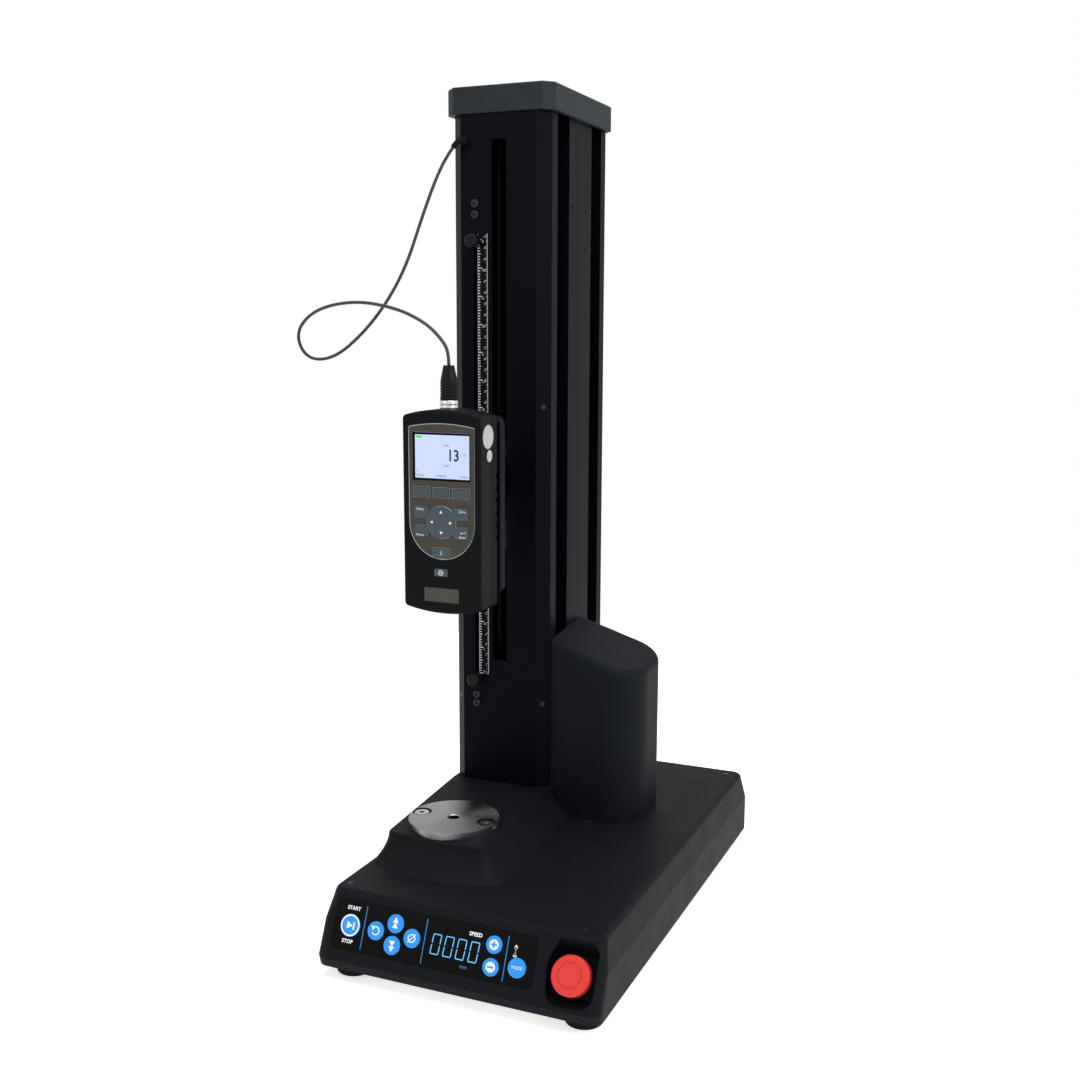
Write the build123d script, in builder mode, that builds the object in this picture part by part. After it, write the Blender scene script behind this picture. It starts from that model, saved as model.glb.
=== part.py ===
from build123d import *
import os
from math import atan, cos, pi, radians, sin, sqrt, tan

# Motorised benchtop test stand with a force gauge on its crosshead.
# Origin: centre of the base's footprint on the bench. +X right seen from the front, +Y back, +Z up.

os.makedirs("parts", exist_ok=True)

# Base: a moulded cover on a steel plate and four rubber feet
base_width = 250.0
base_depth = 442.6
base_top_z = 72.1
base_crease_z = 46.4
base_front_foot_z = 19.8
base_skirt_z = 12.0
base_side_lean = 5.0
base_skirt_undercut = 2.3
base_corner = 10.0
base_edge = 4.5
cover_wall = 4.0
panel_lean = radians(24.0)
base_plate_thick = 6.0
base_plate_gap = 0.4
foot_x = 103.0
foot_front_y = -193.0
foot_rear_y = 196.0
foot_radius = 16.5
foot_draft = 6.0
foot_edge = 2.0
foot_stud_radius = 3.0
foot_stud_length = 9.0
stud_gap = 0.1

# Pedestal moulded on the cover, which carries the specimen plate and the column
pedestal_top_z = 97.2
pedestal_left = -107.8
pedestal_left_rear = -119.8
pedestal_right = -13.0
pedestal_right_rear = -20.0
pedestal_taper_end = 20.0
pedestal_front = -130.5
pedestal_rear = 184.0
pedestal_left_flare = 8.7
pedestal_side_flare = 0.2
pedestal_right_flare = 21.0
pedestal_front_flare = 12.0
pedestal_rear_flare = 8.0
pedestal_crown = 2.5
pedestal_crown_flare = 11.5
pedestal_corner = 9.0
pedestal_edge = 2.5
pedestal_wall = 6.0

# Specimen plate, in line with the gauge
load_x = -62.0
load_y = -91.0
plate_radius = 40.0
plate_thick = 6.5
plate_hole_radius = 5.1
plate_hole_chamfer = 1.0
plate_hole_relief = 6.5
plate_relief_depth = 8.0
plate_screw_offset = 32.0
counterbore_radius = 8.7
counterbore_depth = 5.0
plate_screw_radius = 4.0
plate_screw_head_radius = 6.2
plate_screw_head = 4.4
plate_screw_length = 15.0
plate_screw_key = 5.0
plate_screw_key_depth = 2.6
plate_screw_gap = 0.1
plate_screw_clear = 1.0
boss_radius = 9.0

# Control panel on the sloping front, placed by x and by distance down the slope
overlay_x = -22.2
overlay_down = 27.3
overlay_width = 181.2
overlay_height = 40.5
overlay_corner = 5.0
overlay_thick = 0.8
overlay_recess = 0.6
overlay_gap = 0.15
key_gap = 0.3
key_proud = 0.6
key_height = 3.4
key_edge = 0.35
key_stem_radius = 3.0
key_stem = 2.6
panel_key_radius = 7.4
panel_keys = {
    "start_stop_key": (-96.8, 27.6, 8.9),
    "return_key": (-72.8, 27.7, panel_key_radius),
    "raise_key": (-56.1, 19.2, panel_key_radius),
    "zero_key": (-39.5, 27.7, panel_key_radius),
    "lower_key": (-56.1, 36.2, panel_key_radius),
    "faster_key": (32.1, 19.4, 6.9),
    "slower_key": (32.1, 36.4, 6.9),
    "mode_key": (54.0, 32.9, 7.6),
}
key_travel = 0.5

# Electronics behind the panel and at the rear of the base
board_width = 166.0
board_height = 33.0
board_thick = 1.6
board_switch = 6.0
board_switch_height = 3.0
board_switch_gap = 0.2
display_x = -1.2
display_down = 28.2
display_width = 44.0
display_height = 19.0
display_gap = 0.3
supply_size = (86.0, 46.0, 34.0)
supply_centre = (66.0, 166.0)
supply_edge = 1.5

# Stop button in its scooped recess at the right of the panel
recess_left = 77.2
recess_right = 118.4
recess_top = 3.6
recess_bottom = 54.4
recess_crease = 15.5
recess_crease_depth = 16.0
recess_lip = 47.0
recess_lip_depth = 12.0
recess_wall = 3.4
recess_backing = 4.0
recess_edge = 0.9
stop_x = 98.5
stop_down = 32.0
stop_head_radius = 15.5
stop_head_height = 8.4
stop_head_edge = 1.8
stop_head_rise = 9.0
stop_travel = 4.0
stop_ring_radii = (5.8, 9.4)
stop_ring_width = 0.9
stop_ring_depth = 0.45
stop_nose_radius = 5.0
stop_nose = 4.0
stop_stem_radius = 8.2
stop_bore_gap = 0.08
stop_bezel_radius = 12.6
stop_bezel = 4.4
stop_neck_radius = 11.0
stop_neck = 8.8
stop_block = (26.0, 17.0, 13.0)
stop_bore_depth = 20.0

# Rear power entry and data socket, flush in the back of the base
rear_pocket_depth = 2.0
inlet_x = 58.0
inlet_z = 31.6
inlet_width = 56.0
inlet_height = 25.0
inlet_body_width = 52.0
inlet_body_height = 21.0
inlet_body_depth = 22.0
inlet_corner = 2.5
socket_offset = -11.0
socket_width = 24.0
socket_height = 16.4
socket_depth = 17.0
socket_corner = 3.0
blade_width = 2.0
blade_height = 5.6
blade_spread = 7.0
blade_rise = 3.0
blade_length = 11.0
rocker_offset = 16.5
rocker_width = 9.0
rocker_radius = 8.4
rocker_pivot_depth = 6.0
rocker_face = 3.2
rocker_dish = 1.6
rocker_back = 5.0
rocker_tilt = 10.0
rocker_gap = 0.4
data_x = -58.0
data_width = 14.0
data_height = 13.0
data_depth = 16.0
data_cavity = 8.8
data_cavity_depth = 10.0
data_tongue = (5.4, 2.4, 5.2)

# Column: an aluminium extrusion closed at the front by a chamfered cover with two slots
column_x = -70.6
column_width = 96.6
column_front = 21.5
column_rear = 174.0
column_chamfer = 10.7
column_rear_chamfer = 8.0
column_top_z = 738.0
front_cover_thick = 2.5
lip_reach = 30.0
lip_thick = 4.5
column_wall = 6.0
groove_depth = 10.0
groove_wall = 5.0
groove_side = 3.0
front_groove = (44.8, 72.7)
rear_groove = (128.3, 154.0)
side_hole_radius = 1.25
side_hole_y = (81.0, 113.8)
side_hole_z = (605.0, 642.0)
slot_x = -70.0
slot_width = 14.5
slot_low_z = 218.5
slot_high_z = 698.3
stop_slot_x = -93.7
stop_slot_width = 3.6
stop_slot_low_z = 195.0
stop_slot_high_z = 613.0

# Cap over the column
cap_overhang = 4.9
cap_front_overhang = 2.5
cap_rear_overhang = 3.0
cap_chamfer = 9.4
cap_low_z = 721.2
cap_high_z = 744.8
cap_wall = 3.0
cap_roof = 4.0
cap_edge = 1.6
cap_gap = 0.3

# Ruler beside the slot
ruler_left = -91.2
ruler_width = 10.4
ruler_low_z = 203.3
ruler_high_z = 618.7
ruler_thick = 0.6

# Limit stops: a knurled knob outside, a slider with a vane inside
upper_stop_z = 609.4
lower_stop_z = 198.9
knob_radius = 6.0
knob_length = 10.0
knob_clear = 0.9
knob_edge = 0.8
knob_stem_radius = 1.5
slider_width = 9.6
slider_height = 10.0
slider_thick = 6.4
slider_gap = 0.3
vane_thick = 1.0
vane_reach = 11.0
guide_width = 13.0
guide_slot = 10.2
guide_low_z = 166.0
guide_high_z = 651.0
guide_slot_low_z = 189.0
guide_slot_high_z = 620.0
guide_thick = 7.0

# Small screws that show
button_head_radius = 4.0
button_head = 2.2
button_edge = 1.2
button_key = 2.5
button_key_depth = 1.2
button_shank_radius = 2.0
button_shank = 7.0
button_screw_z = (174.1, 182.5, 632.8, 642.6)
cover_screw_radius = 2.4
cover_screw_head = 0.9
cover_screw_shank_radius = 1.2
cover_screw_shank = 2.2
cover_screw_z = (179.0, 460.0)
base_screw_places = ((-110.6, -186.5), (101.0, -187.0), (-106.0, 203.0), (106.0, 203.0))
base_screw_radius = 2.6
base_screw_head = 1.0
base_screw_shank_radius = 1.3
base_screw_shank = 6.0
screw_gap = 0.1

# Drive: motor beside the column, belt to a lead screw, two guide rods
rod_radius = 5.0
rod_spread = 20.0
rod_y = 66.0
screw_radius = 6.0
screw_y = 92.0
screw_low_z = 30.0
screw_port = 14.0
drive_top_z = 722.0
block_low_z = pedestal_top_z
block_thick = 18.0
block_front = 50.0
block_rear = 114.0
bearing_radius = 13.0
bearing_thick = 10.0
running_gap = 0.05
motor_x = 22.0
motor_y = 72.0
motor_radius = 28.0
motor_low_z = 104.0
motor_height = 104.0
motor_flange_thick = 5.0
motor_flange = 58.0
motor_edge = 2.0
bracket_thick = 6.0
bracket_front = 40.0
bracket_rear = 104.0
bracket_right = 52.0
bracket_lip = 22.0
motor_shaft_radius = 4.0
motor_shaft_seat = 14.0
motor_pilot = 12.0
motor_shaft_hole = 7.0
drive_pulley_radius = 8.0
driven_pulley_radius = 16.0
pulley_low_z = 38.0
pulley_flange_thick = 1.4
pulley_flange_rise = 2.6
belt_width = 10.0
belt_thick = 1.6
belt_gap = 0.3

# Motor shroud at the right of the column
shroud_left_front_y = 33.0
shroud_right_front_y = 20.5
shroud_right = 66.5
shroud_rear_y = 115.5
shroud_front_corner = 34.0
shroud_rear_corner = 30.0
shroud_roof_z = 249.0
shroud_roof_fall = 0.302
shroud_roof_pitch = 0.10
shroud_edge = 8.0
shroud_wall = 3.5
shroud_seat_gap = 0.2

# Crosshead: carriage inside the column, arm through the slot, gauge in front
crosshead_z = 390.0
crosshead_down = 135.0
crosshead_up = 275.0
carriage_half_width = 29.5
carriage_front = 48.0
carriage_rear = 112.0
carriage_low = 68.0
carriage_high = 30.0
carriage_edge = 2.0
bush_radius = 7.5
bush_length = 24.0
nut_radius = 11.0
nut_length = 28.0
nut_flange_radius = 17.0
nut_flange = 6.0
screw_clearance = 2.0
sensor_drop = 56.0
sensor_height = 12.0
sensor_width = 11.0
sensor_gap = 4.0
sensor_reach = 12.0
sensor_root = 3.0
arm_width = 12.6
arm_height = 20.0
arm_foot = (34.0, 46.0)
arm_foot_thick = 8.0
arm_straight_y = 6.0
arm_head = (46.0, 92.0)
arm_head_corner = 6.0
arm_head_thick = 7.0
arm_edge = 1.5
mount_plate_width = 73.0
mount_plate_low = 88.0
mount_plate_high = 68.0
mount_plate_thick = 10.0
mount_plate_rear = -61.5
mount_plate_corner = 9.0
mount_plate_edge = 1.2

# Force gauge
gauge_width = 73.5
gauge_low_z = 295.8
gauge_high_z = 458.5
gauge_front = -109.6
gauge_split = -91.5
gauge_rear = -76.4
gauge_top_arch = 5.4
gauge_bottom_arch = 4.8
gauge_corner = 4.0
gauge_edge = 2.4
gauge_wall = 2.8
label_recess = 0.6
label_half_width = 31.3
label_low_z = 337.5
label_high_z = 449.6
label_arch = 3.2
window_x = -61.8
window_z = 424.6
window_width = 54.0
window_height = 40.1
window_gap = 0.2
window_inset = 0.25
gauge_board = (64.0, 146.0, 1.6)
gauge_board_y = -102.0
gauge_board_z = 377.0
standoff_radius = 5.0
standoff_x = 24.0
standoff_z = 58.0
grip_count = 6
grip_pitch = 10.6
grip_centre_z = 381.0
grip_radius = 3.4
grip_depth = 1.5
grip_length = 9.0
cell_size = (28.0, 18.0, 52.0)
cell_low_z = 322.0
cell_seat_gap = 0.3
spindle_radius = 6.0
spindle_low_z = 293.0
spindle_hole_radius = 2.5
spindle_hole_depth = 12.0
spindle_port_gap = 0.8

# Gauge keys: x, z, width, height
gauge_key_proud = 0.8
gauge_key_depth = 4.2
gauge_key_gap = 0.3
gauge_key_corner = 1.1
gauge_key_edge = 0.45
gauge_key_travel = 0.6
pad_x = -62.4
pad_z = 369.4
pad_radius = 13.0
pad_clear = 1.4
gauge_keys = {
    "left_soft_key": (-81.0, 394.5, 14.3, 7.3),
    "middle_soft_key": (-62.4, 394.5, 14.3, 7.3),
    "right_soft_key": (-43.8, 394.5, 14.3, 7.3),
    "upper_left_key": (-80.9, 377.2, 14.0, 11.4),
    "upper_right_key": (-43.9, 377.2, 14.0, 11.4),
    "lower_left_key": (-80.9, 361.6, 14.0, 11.4),
    "lower_right_key": (-43.9, 361.6, 14.0, 11.4),
    "info_key": (-62.5, 343.2, 14.7, 7.6),
    "gauge_power_key": (-63.0, 326.4, 12.8, 6.6),
}

# Signal cord: socket and plug on the gauge, gland on the column, a free loop between
plug_x = -63.0
plug_y = -92.0
plug_low_z = 457.0
plug_radius = 7.5
plug_collar_z = 474.0
plug_body_radius = 7.1
plug_body_z = 488.0
plug_tip_radius = 4.6
plug_tip_z = 500.0
plug_groove = 0.5
plug_port_gap = 0.2
gland_x = -104.5
gland_z = 698.0
gland_radius = 3.8
gland_length = 5.0
gland_shank_radius = 2.4
gland_port_gap = 0.1
boot_radius = 2.4
cord_radius = 1.45
cord_route = (
    (-111.5, 13.0, 691.7),
    (-118.2, 9.0, 680.6),
    (-126.0, 2.0, 658.1),
    (-136.0, -5.0, 625.0),
    (-145.0, -13.0, 590.0),
    (-158.0, -22.0, 559.0),
    (-179.0, -32.0, 528.0),
    (-206.5, -42.0, 503.0),
    (-231.0, -50.0, 502.0),
    (-238.5, -57.0, 526.0),
    (-213.0, -64.0, 547.0),
    (-167.0, -71.0, 554.5),
    (-121.0, -79.0, 548.0),
    (-88.5, -85.5, 535.5),
    (-70.5, -90.0, 521.5),
    (plug_x, plug_y, 511.0),
    (plug_x, plug_y, plug_tip_z),
)

# Places that follow from the sizes above
base_front_y = -base_depth / 2
base_rear_y = base_depth / 2
slope_top_y = base_front_y + (base_top_z - base_front_foot_z) * tan(panel_lean)
slope = Plane(
    origin=(0, slope_top_y, base_top_z),
    x_dir=(1, 0, 0),
    z_dir=(0, -cos(panel_lean), sin(panel_lean)),
)
mount_tilt = atan((recess_crease_depth - recess_lip_depth) / (recess_lip - recess_crease))
stop_lean = panel_lean + mount_tilt
stop_depth = recess_crease_depth - (stop_down - recess_crease) * tan(mount_tilt)
stop_plane = Plane(
    origin=slope.from_local_coords(Vector(stop_x, -stop_down, -stop_depth)),
    x_dir=(1, 0, 0),
    z_dir=(0, -cos(stop_lean), sin(stop_lean)),
)
plate_top_z = pedestal_top_z + plate_thick
plate_screw_places = ((load_x - plate_screw_offset, load_y), (load_x + plate_screw_offset, load_y))
column_right = column_x + column_width / 2
base_plate_top_z = base_skirt_z + base_plate_thick
foot_places = (
    (-foot_x, foot_front_y),
    (foot_x, foot_front_y),
    (-foot_x, foot_rear_y),
    (foot_x, foot_rear_y),
)
cover_inner_y = column_front + front_cover_thick
upper_block_z = drive_top_z - block_thick
screw_place = (column_x, screw_y)
rod_places = ((column_x - rod_spread, rod_y), (column_x + rod_spread, rod_y))
carriage_low_z = crosshead_z - carriage_low
carriage_high_z = crosshead_z + carriage_high
sensor_z = crosshead_z - sensor_drop
mount_plate_front = mount_plate_rear - mount_plate_thick


def front_y(z):
    """Front of the base cover at height z: undercut skirt below, sloping panel above."""
    if z < base_front_foot_z:
        share = (base_front_foot_z - z) / (base_front_foot_z - base_skirt_z)
        return base_front_y + base_skirt_undercut * share
    return base_front_y + (z - base_front_foot_z) * tan(panel_lean)


def base_form(inset, low_z, high_z):
    """Cover's outer form, or its inner one when inset is the wall."""
    sections = []
    for z in (low_z, base_front_foot_z, base_crease_z, high_z):
        lean = base_side_lean * max(0, z - base_crease_z) / (base_top_z - base_crease_z)
        half_width = base_width / 2 - lean - inset
        front = front_y(z) + inset / cos(panel_lean)
        rear = base_rear_y - lean - inset
        with BuildSketch(Plane((0, (front + rear) / 2, z))) as section:
            RectangleRounded(2 * half_width, rear - front, base_corner - inset)
        sections.append(section.sketch)
    loft(sections, ruled=True)


def pedestal_outline(share, grow=0.0):
    """Pedestal's plan: share is 0 at its top edge and 1 at its foot."""
    left = pedestal_left - pedestal_left_flare * share - grow
    left_rear = pedestal_left_rear - pedestal_side_flare * share - grow
    right = pedestal_right + pedestal_right_flare * share + grow
    right_rear = pedestal_right_rear + pedestal_right_flare * share + grow
    front = pedestal_front - pedestal_front_flare * share - grow
    rear = pedestal_rear + pedestal_rear_flare * share + grow
    crown = pedestal_crown + pedestal_crown_flare * share
    with BuildLine() as outline:
        ThreePointArc((left, front), ((left + right) / 2, front - crown), (right, front))
        Polyline(
            (right, front),
            (right_rear, pedestal_taper_end),
            (right_rear, rear),
            (left_rear, rear),
            (left_rear, pedestal_taper_end),
            (left, front),
        )
    face = make_face(outline.edges())
    corners = face.vertices().sort_by(Axis.Y)
    fillet(corners[:2] + corners[-2:], pedestal_corner + grow)


def pedestal_form(grow=0.0, mode=Mode.ADD):
    """Pedestal with sides that sweep out to its foot."""
    height = pedestal_top_z - base_top_z + grow
    sections = []
    for part_way in (0, 0.3, 0.62, 1):
        with BuildSketch(Plane.XY.offset(base_top_z + height * part_way)) as section:
            pedestal_outline((1 - part_way) ** 2, grow)
        sections.append(section.sketch)
    extrude(sections[0], amount=-pedestal_wall, mode=mode)
    loft(sections, mode=mode)


def column_outline(grow):
    """Plan of the column, chamfered at its four corners, grown all round."""
    half = column_width / 2 + grow
    front = column_front - grow
    rear = column_rear + grow
    right_half = [
        (half - column_chamfer, front),
        (half, front + column_chamfer),
        (half, rear - column_rear_chamfer),
        (half - column_rear_chamfer, rear),
    ]
    mirrored(right_half)


def mirrored(right_half):
    """Closed polygon from its right half, given from front to back and mirrored about the column's axis."""
    right = [(column_x + x, y) for x, y in right_half]
    left = [(column_x - x, y) for x, y in reversed(right_half)]
    Polygon(*right, *left, align=None)


def plate_outline(gap):
    """Plan of the steel plate that closes the base, at a given gap from the cover."""
    front = front_y(base_skirt_z) + cover_wall / cos(panel_lean) + gap
    rear = base_rear_y - cover_wall - gap
    with Locations((0, (front + rear) / 2)):
        RectangleRounded(base_width - 2 * (cover_wall + gap), rear - front, base_corner - cover_wall)


def recess_outline(grow=0.0):
    """Mouth of the stop button's recess on the slope."""
    with BuildLine() as outline:
        FilletPolyline(
            (recess_left + 9, -recess_top),
            (recess_right - 4, -recess_top),
            (recess_right, -recess_top - 7),
            (recess_right, -recess_bottom),
            (recess_left + 3.5, -recess_bottom),
            (recess_left, -recess_bottom * 0.42),
            radius=(4, 5, 7, 14, 11, 26),
            close=True,
        )
    face = make_face(outline.edges())
    if grow:
        offset(face, amount=grow)


def gauge_outline(inset=0.0):
    """Front view of the gauge, arched at its top and bottom."""
    left = load_x - gauge_width / 2 + inset
    right = load_x + gauge_width / 2 - inset
    low = gauge_low_z + inset
    high = gauge_high_z - inset
    with BuildLine() as outline:
        ThreePointArc((left, high), (load_x, high + gauge_top_arch), (right, high))
        Line((right, high), (right, low))
        ThreePointArc((right, low), (load_x, low - gauge_bottom_arch), (left, low))
        Line((left, low), (left, high))
    face = make_face(outline.edges())
    fillet(face.vertices(), gauge_corner - inset)


def label_outline():
    """Face label of the gauge: arched top, round bottom."""
    left = load_x - label_half_width
    right = load_x + label_half_width
    side_low = label_low_z + label_half_width
    with BuildLine() as outline:
        ThreePointArc((left, label_high_z), (load_x, label_high_z + label_arch), (right, label_high_z))
        Line((right, label_high_z), (right, side_low))
        ThreePointArc((right, side_low), (load_x, label_low_z), (left, side_low))
        Line((left, side_low), (left, label_high_z))
    make_face(outline.edges())


def gauge_key_outline(name, grow=0.0):
    """One rectangular key of the gauge; the corner keys are cut back round the pad."""
    x, z, width, height = gauge_keys[name]
    with Locations((x, z)):
        RectangleRounded(width + 2 * grow, height + 2 * grow, gauge_key_corner + grow)
    with Locations((pad_x, pad_z)):
        Circle(pad_radius + pad_clear - grow, mode=Mode.SUBTRACT)


# Base cover: the hollow inside it first
with BuildPart() as base_cavity:
    base_form(cover_wall, base_skirt_z - cover_wall, base_top_z - cover_wall)
    with BuildSketch(Plane.XY.offset(base_top_z - 2 * cover_wall)):
        pedestal_outline(0, -pedestal_wall)
    extrude(amount=pedestal_top_z - pedestal_wall - base_top_z + 2 * cover_wall)
    with BuildSketch(slope):
        recess_outline(recess_wall)
    extrude(amount=-recess_crease_depth - recess_backing, mode=Mode.SUBTRACT)
    with BuildSketch(Plane.XY.offset(pedestal_top_z)):
        with Locations((load_x, load_y), *plate_screw_places):
            Circle(boss_radius)
    extrude(amount=-plate_screw_length - cover_wall, mode=Mode.SUBTRACT)
    with BuildSketch(Plane.XY.offset(base_skirt_z)):
        plate_outline(0)
    extrude(amount=base_plate_thick + base_plate_gap)

# The scoop round the stop button: an overhung back wall, the mounting face and a lower lip
with BuildPart() as stop_recess:
    with BuildSketch(slope):
        recess_outline()
    extrude(amount=recess_crease_depth + recess_backing, both=True)
    across = Plane(origin=slope.origin, x_dir=slope.y_dir, z_dir=(1, 0, 0))
    with BuildSketch(across.offset(recess_left - recess_wall)):
        Polygon(
            (-recess_top, recess_wall),
            (-recess_top, 0),
            (-recess_crease, -recess_crease_depth),
            (-recess_lip, -recess_lip_depth),
            (-recess_bottom, 0),
            (-recess_bottom, recess_wall),
            align=None,
        )
    extrude(amount=recess_right - recess_left + 2 * recess_wall, mode=Mode.INTERSECT)

with BuildPart() as base_cover:
    base_form(0, base_skirt_z, base_top_z)
    fillet(base_cover.edges().group_by(Axis.Z)[-1], base_edge)
    pedestal_form()
    fillet(base_cover.edges().group_by(Axis.Z)[-1], pedestal_edge)
    add(base_cavity.part, mode=Mode.SUBTRACT)
    add(stop_recess.part, mode=Mode.SUBTRACT)
    with BuildSketch(Plane.XY.offset(pedestal_top_z)):
        with Locations(screw_place):
            Circle(screw_port)
    extrude(amount=-2 * pedestal_wall, mode=Mode.SUBTRACT)
    with BuildSketch(Plane.XY.offset(pedestal_top_z)):
        with Locations((load_x, load_y)):
            Circle(plate_hole_relief)
    extrude(amount=-plate_relief_depth, mode=Mode.SUBTRACT)
    with BuildSketch(Plane.XY.offset(pedestal_top_z)):
        with Locations(*plate_screw_places):
            Circle(plate_screw_radius + plate_screw_gap)
    extrude(amount=-plate_screw_length, mode=Mode.SUBTRACT)
    with BuildSketch(Plane.XY.offset(base_top_z)):
        with Locations((motor_x, motor_y)):
            Circle(motor_shaft_hole)
    extrude(amount=-2 * cover_wall, mode=Mode.SUBTRACT)
    with BuildSketch(Plane.XY.offset(base_top_z)):
        with Locations(*base_screw_places):
            Circle(base_screw_radius + screw_gap)
    extrude(amount=-base_screw_head, mode=Mode.SUBTRACT)
    with BuildSketch(Plane.XY.offset(base_top_z)):
        with Locations(*base_screw_places):
            Circle(base_screw_shank_radius + screw_gap)
    extrude(amount=-2 * cover_wall, mode=Mode.SUBTRACT)
    with BuildSketch(slope):
        with Locations((overlay_x, -overlay_down)):
            RectangleRounded(overlay_width, overlay_height, overlay_corner)
    extrude(amount=-overlay_recess, mode=Mode.SUBTRACT)
    with BuildSketch(slope):
        for x, down, radius in panel_keys.values():
            with Locations((x, -down)):
                Circle(radius + key_gap)
        with Locations((display_x, -display_down)):
            Rectangle(display_width + 2 * display_gap, display_height + 2 * display_gap)
    extrude(amount=-3 * cover_wall, mode=Mode.SUBTRACT)
    with BuildSketch(stop_plane):
        Circle(stop_neck_radius + screw_gap)
    extrude(amount=-stop_neck - cover_wall, mode=Mode.SUBTRACT)
    rear_face = Plane.XZ.offset(-base_rear_y)
    with BuildSketch(rear_face):
        with Locations((inlet_x, inlet_z)):
            RectangleRounded(inlet_width + 2 * screw_gap, inlet_height + 2 * screw_gap, inlet_corner)
        with Locations((data_x, inlet_z)):
            RectangleRounded(data_width + 2 * screw_gap, data_height + 2 * screw_gap, inlet_corner)
    extrude(amount=rear_pocket_depth, mode=Mode.SUBTRACT)
    with BuildSketch(rear_face):
        with Locations((inlet_x, inlet_z)):
            Rectangle(inlet_body_width + 2 * screw_gap, inlet_body_height + 2 * screw_gap)
        with Locations((data_x, inlet_z)):
            Rectangle(data_width - 2, data_height - 2)
    extrude(amount=2 * cover_wall, mode=Mode.SUBTRACT)
base_cover.part.label = "base_cover"
export_step(base_cover.part, "parts/base_cover.step")

# Steel plate that closes the base and carries the column
with BuildPart() as base_plate:
    with BuildSketch(Plane.XY.offset(base_skirt_z)):
        plate_outline(base_plate_gap)
    extrude(amount=base_plate_thick)
    with BuildSketch(Plane.XY.offset(base_skirt_z)):
        with Locations(*foot_places):
            Circle(foot_stud_radius + stud_gap)
    extrude(amount=base_plate_thick, mode=Mode.SUBTRACT)
base_plate.part.label = "base_plate"
export_step(base_plate.part, "parts/base_plate.step")

with BuildPart() as rubber_feet:
    with BuildSketch(Plane.XY.offset(base_skirt_z)):
        with Locations(*foot_places):
            Circle(foot_radius)
    extrude(amount=-base_skirt_z, taper=foot_draft)
    fillet(rubber_feet.edges().group_by(Axis.Z)[0], foot_edge)
    with BuildSketch(Plane.XY.offset(base_skirt_z)):
        with Locations(*foot_places):
            Circle(foot_stud_radius)
    extrude(amount=foot_stud_length)
rubber_feet.part.label = "rubber_feet"
export_step(rubber_feet.part, "parts/rubber_feet.step")

# Control panel
with BuildPart() as control_overlay:
    with BuildSketch(slope.offset(-overlay_recess)):
        with Locations((overlay_x, -overlay_down)):
            RectangleRounded(
                overlay_width - 2 * overlay_gap,
                overlay_height - 2 * overlay_gap,
                overlay_corner - overlay_gap,
            )
        for x, down, radius in panel_keys.values():
            with Locations((x, -down)):
                Circle(radius + key_gap, mode=Mode.SUBTRACT)
    extrude(amount=overlay_thick)
control_overlay.part.label = "control_overlay"
export_step(control_overlay.part, "parts/control_overlay.step")

overlay_face = overlay_thick - overlay_recess
for key_name, (x, down, radius) in panel_keys.items():
    with BuildPart() as panel_key:
        with BuildSketch(slope.offset(overlay_face + key_proud)):
            with Locations((x, -down)):
                Circle(radius)
        extrude(amount=-key_height)
        fillet(panel_key.edges().group_by(Axis(slope.origin, slope.z_dir))[-1], key_edge)
        with BuildSketch(slope.offset(overlay_face + key_proud - key_height)):
            with Locations((x, -down)):
                Circle(key_stem_radius)
        extrude(amount=-key_stem)
    panel_key.part.label = key_name
    export_step(panel_key.part, f"parts/{key_name}.step")

# Controller board with its switches and display behind the panel, and the power supply
key_end = overlay_face + key_proud - key_height - key_stem
switch_top = key_end - key_travel - board_switch_gap
with BuildPart() as control_electronics:
    with BuildSketch(slope.offset(switch_top - board_switch_height)):
        with Locations((overlay_x, -overlay_down)):
            Rectangle(board_width, board_height)
    extrude(amount=-board_thick)
    with BuildSketch(slope.offset(switch_top - board_switch_height)):
        for x, down, _ in panel_keys.values():
            with Locations((x, -down)):
                Rectangle(board_switch, board_switch)
    extrude(amount=board_switch_height)
    with BuildSketch(slope.offset(switch_top - board_switch_height)):
        with Locations((display_x, -display_down)):
            Rectangle(display_width, display_height)
    extrude(amount=board_switch_height - switch_top - overlay_recess - display_gap)
    with BuildSketch(Plane((*supply_centre, base_plate_top_z))):
        RectangleRounded(supply_size[0], supply_size[1], supply_edge)
    extrude(amount=supply_size[2])
control_electronics.part.label = "control_electronics"
export_step(control_electronics.part, "parts/control_electronics.step")

# Stop button: switch body, plunger and red head
with BuildPart() as stop_switch_body:
    with BuildSketch(stop_plane):
        Circle(stop_bezel_radius)
    extrude(amount=stop_bezel)
    fillet(stop_switch_body.edges().group_by(Axis(stop_plane.origin, stop_plane.z_dir))[-1], stop_ring_width)
    with BuildSketch(stop_plane):
        Circle(stop_neck_radius)
    extrude(amount=-stop_neck)
    with BuildSketch(stop_plane.offset(-stop_neck)):
        Rectangle(stop_block[0], stop_block[1])
    extrude(amount=-stop_block[2])
    with BuildSketch(stop_plane.offset(stop_bezel)):
        Circle(stop_stem_radius + stop_bore_gap)
    extrude(amount=-stop_bore_depth, mode=Mode.SUBTRACT)
stop_switch_body.part.label = "stop_switch_body"
export_step(stop_switch_body.part, "parts/stop_switch_body.step")

with BuildPart() as stop_plunger:
    with BuildSketch(stop_plane.offset(stop_head_rise)):
        Circle(stop_stem_radius)
    extrude(amount=-(stop_head_rise + stop_bore_depth - stop_bezel - stop_travel - 2 * stop_bore_gap))
    with BuildSketch(stop_plane.offset(stop_head_rise)):
        Circle(stop_nose_radius)
    extrude(amount=stop_nose)
stop_plunger.part.label = "stop_plunger"
export_step(stop_plunger.part, "parts/stop_plunger.step")

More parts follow.
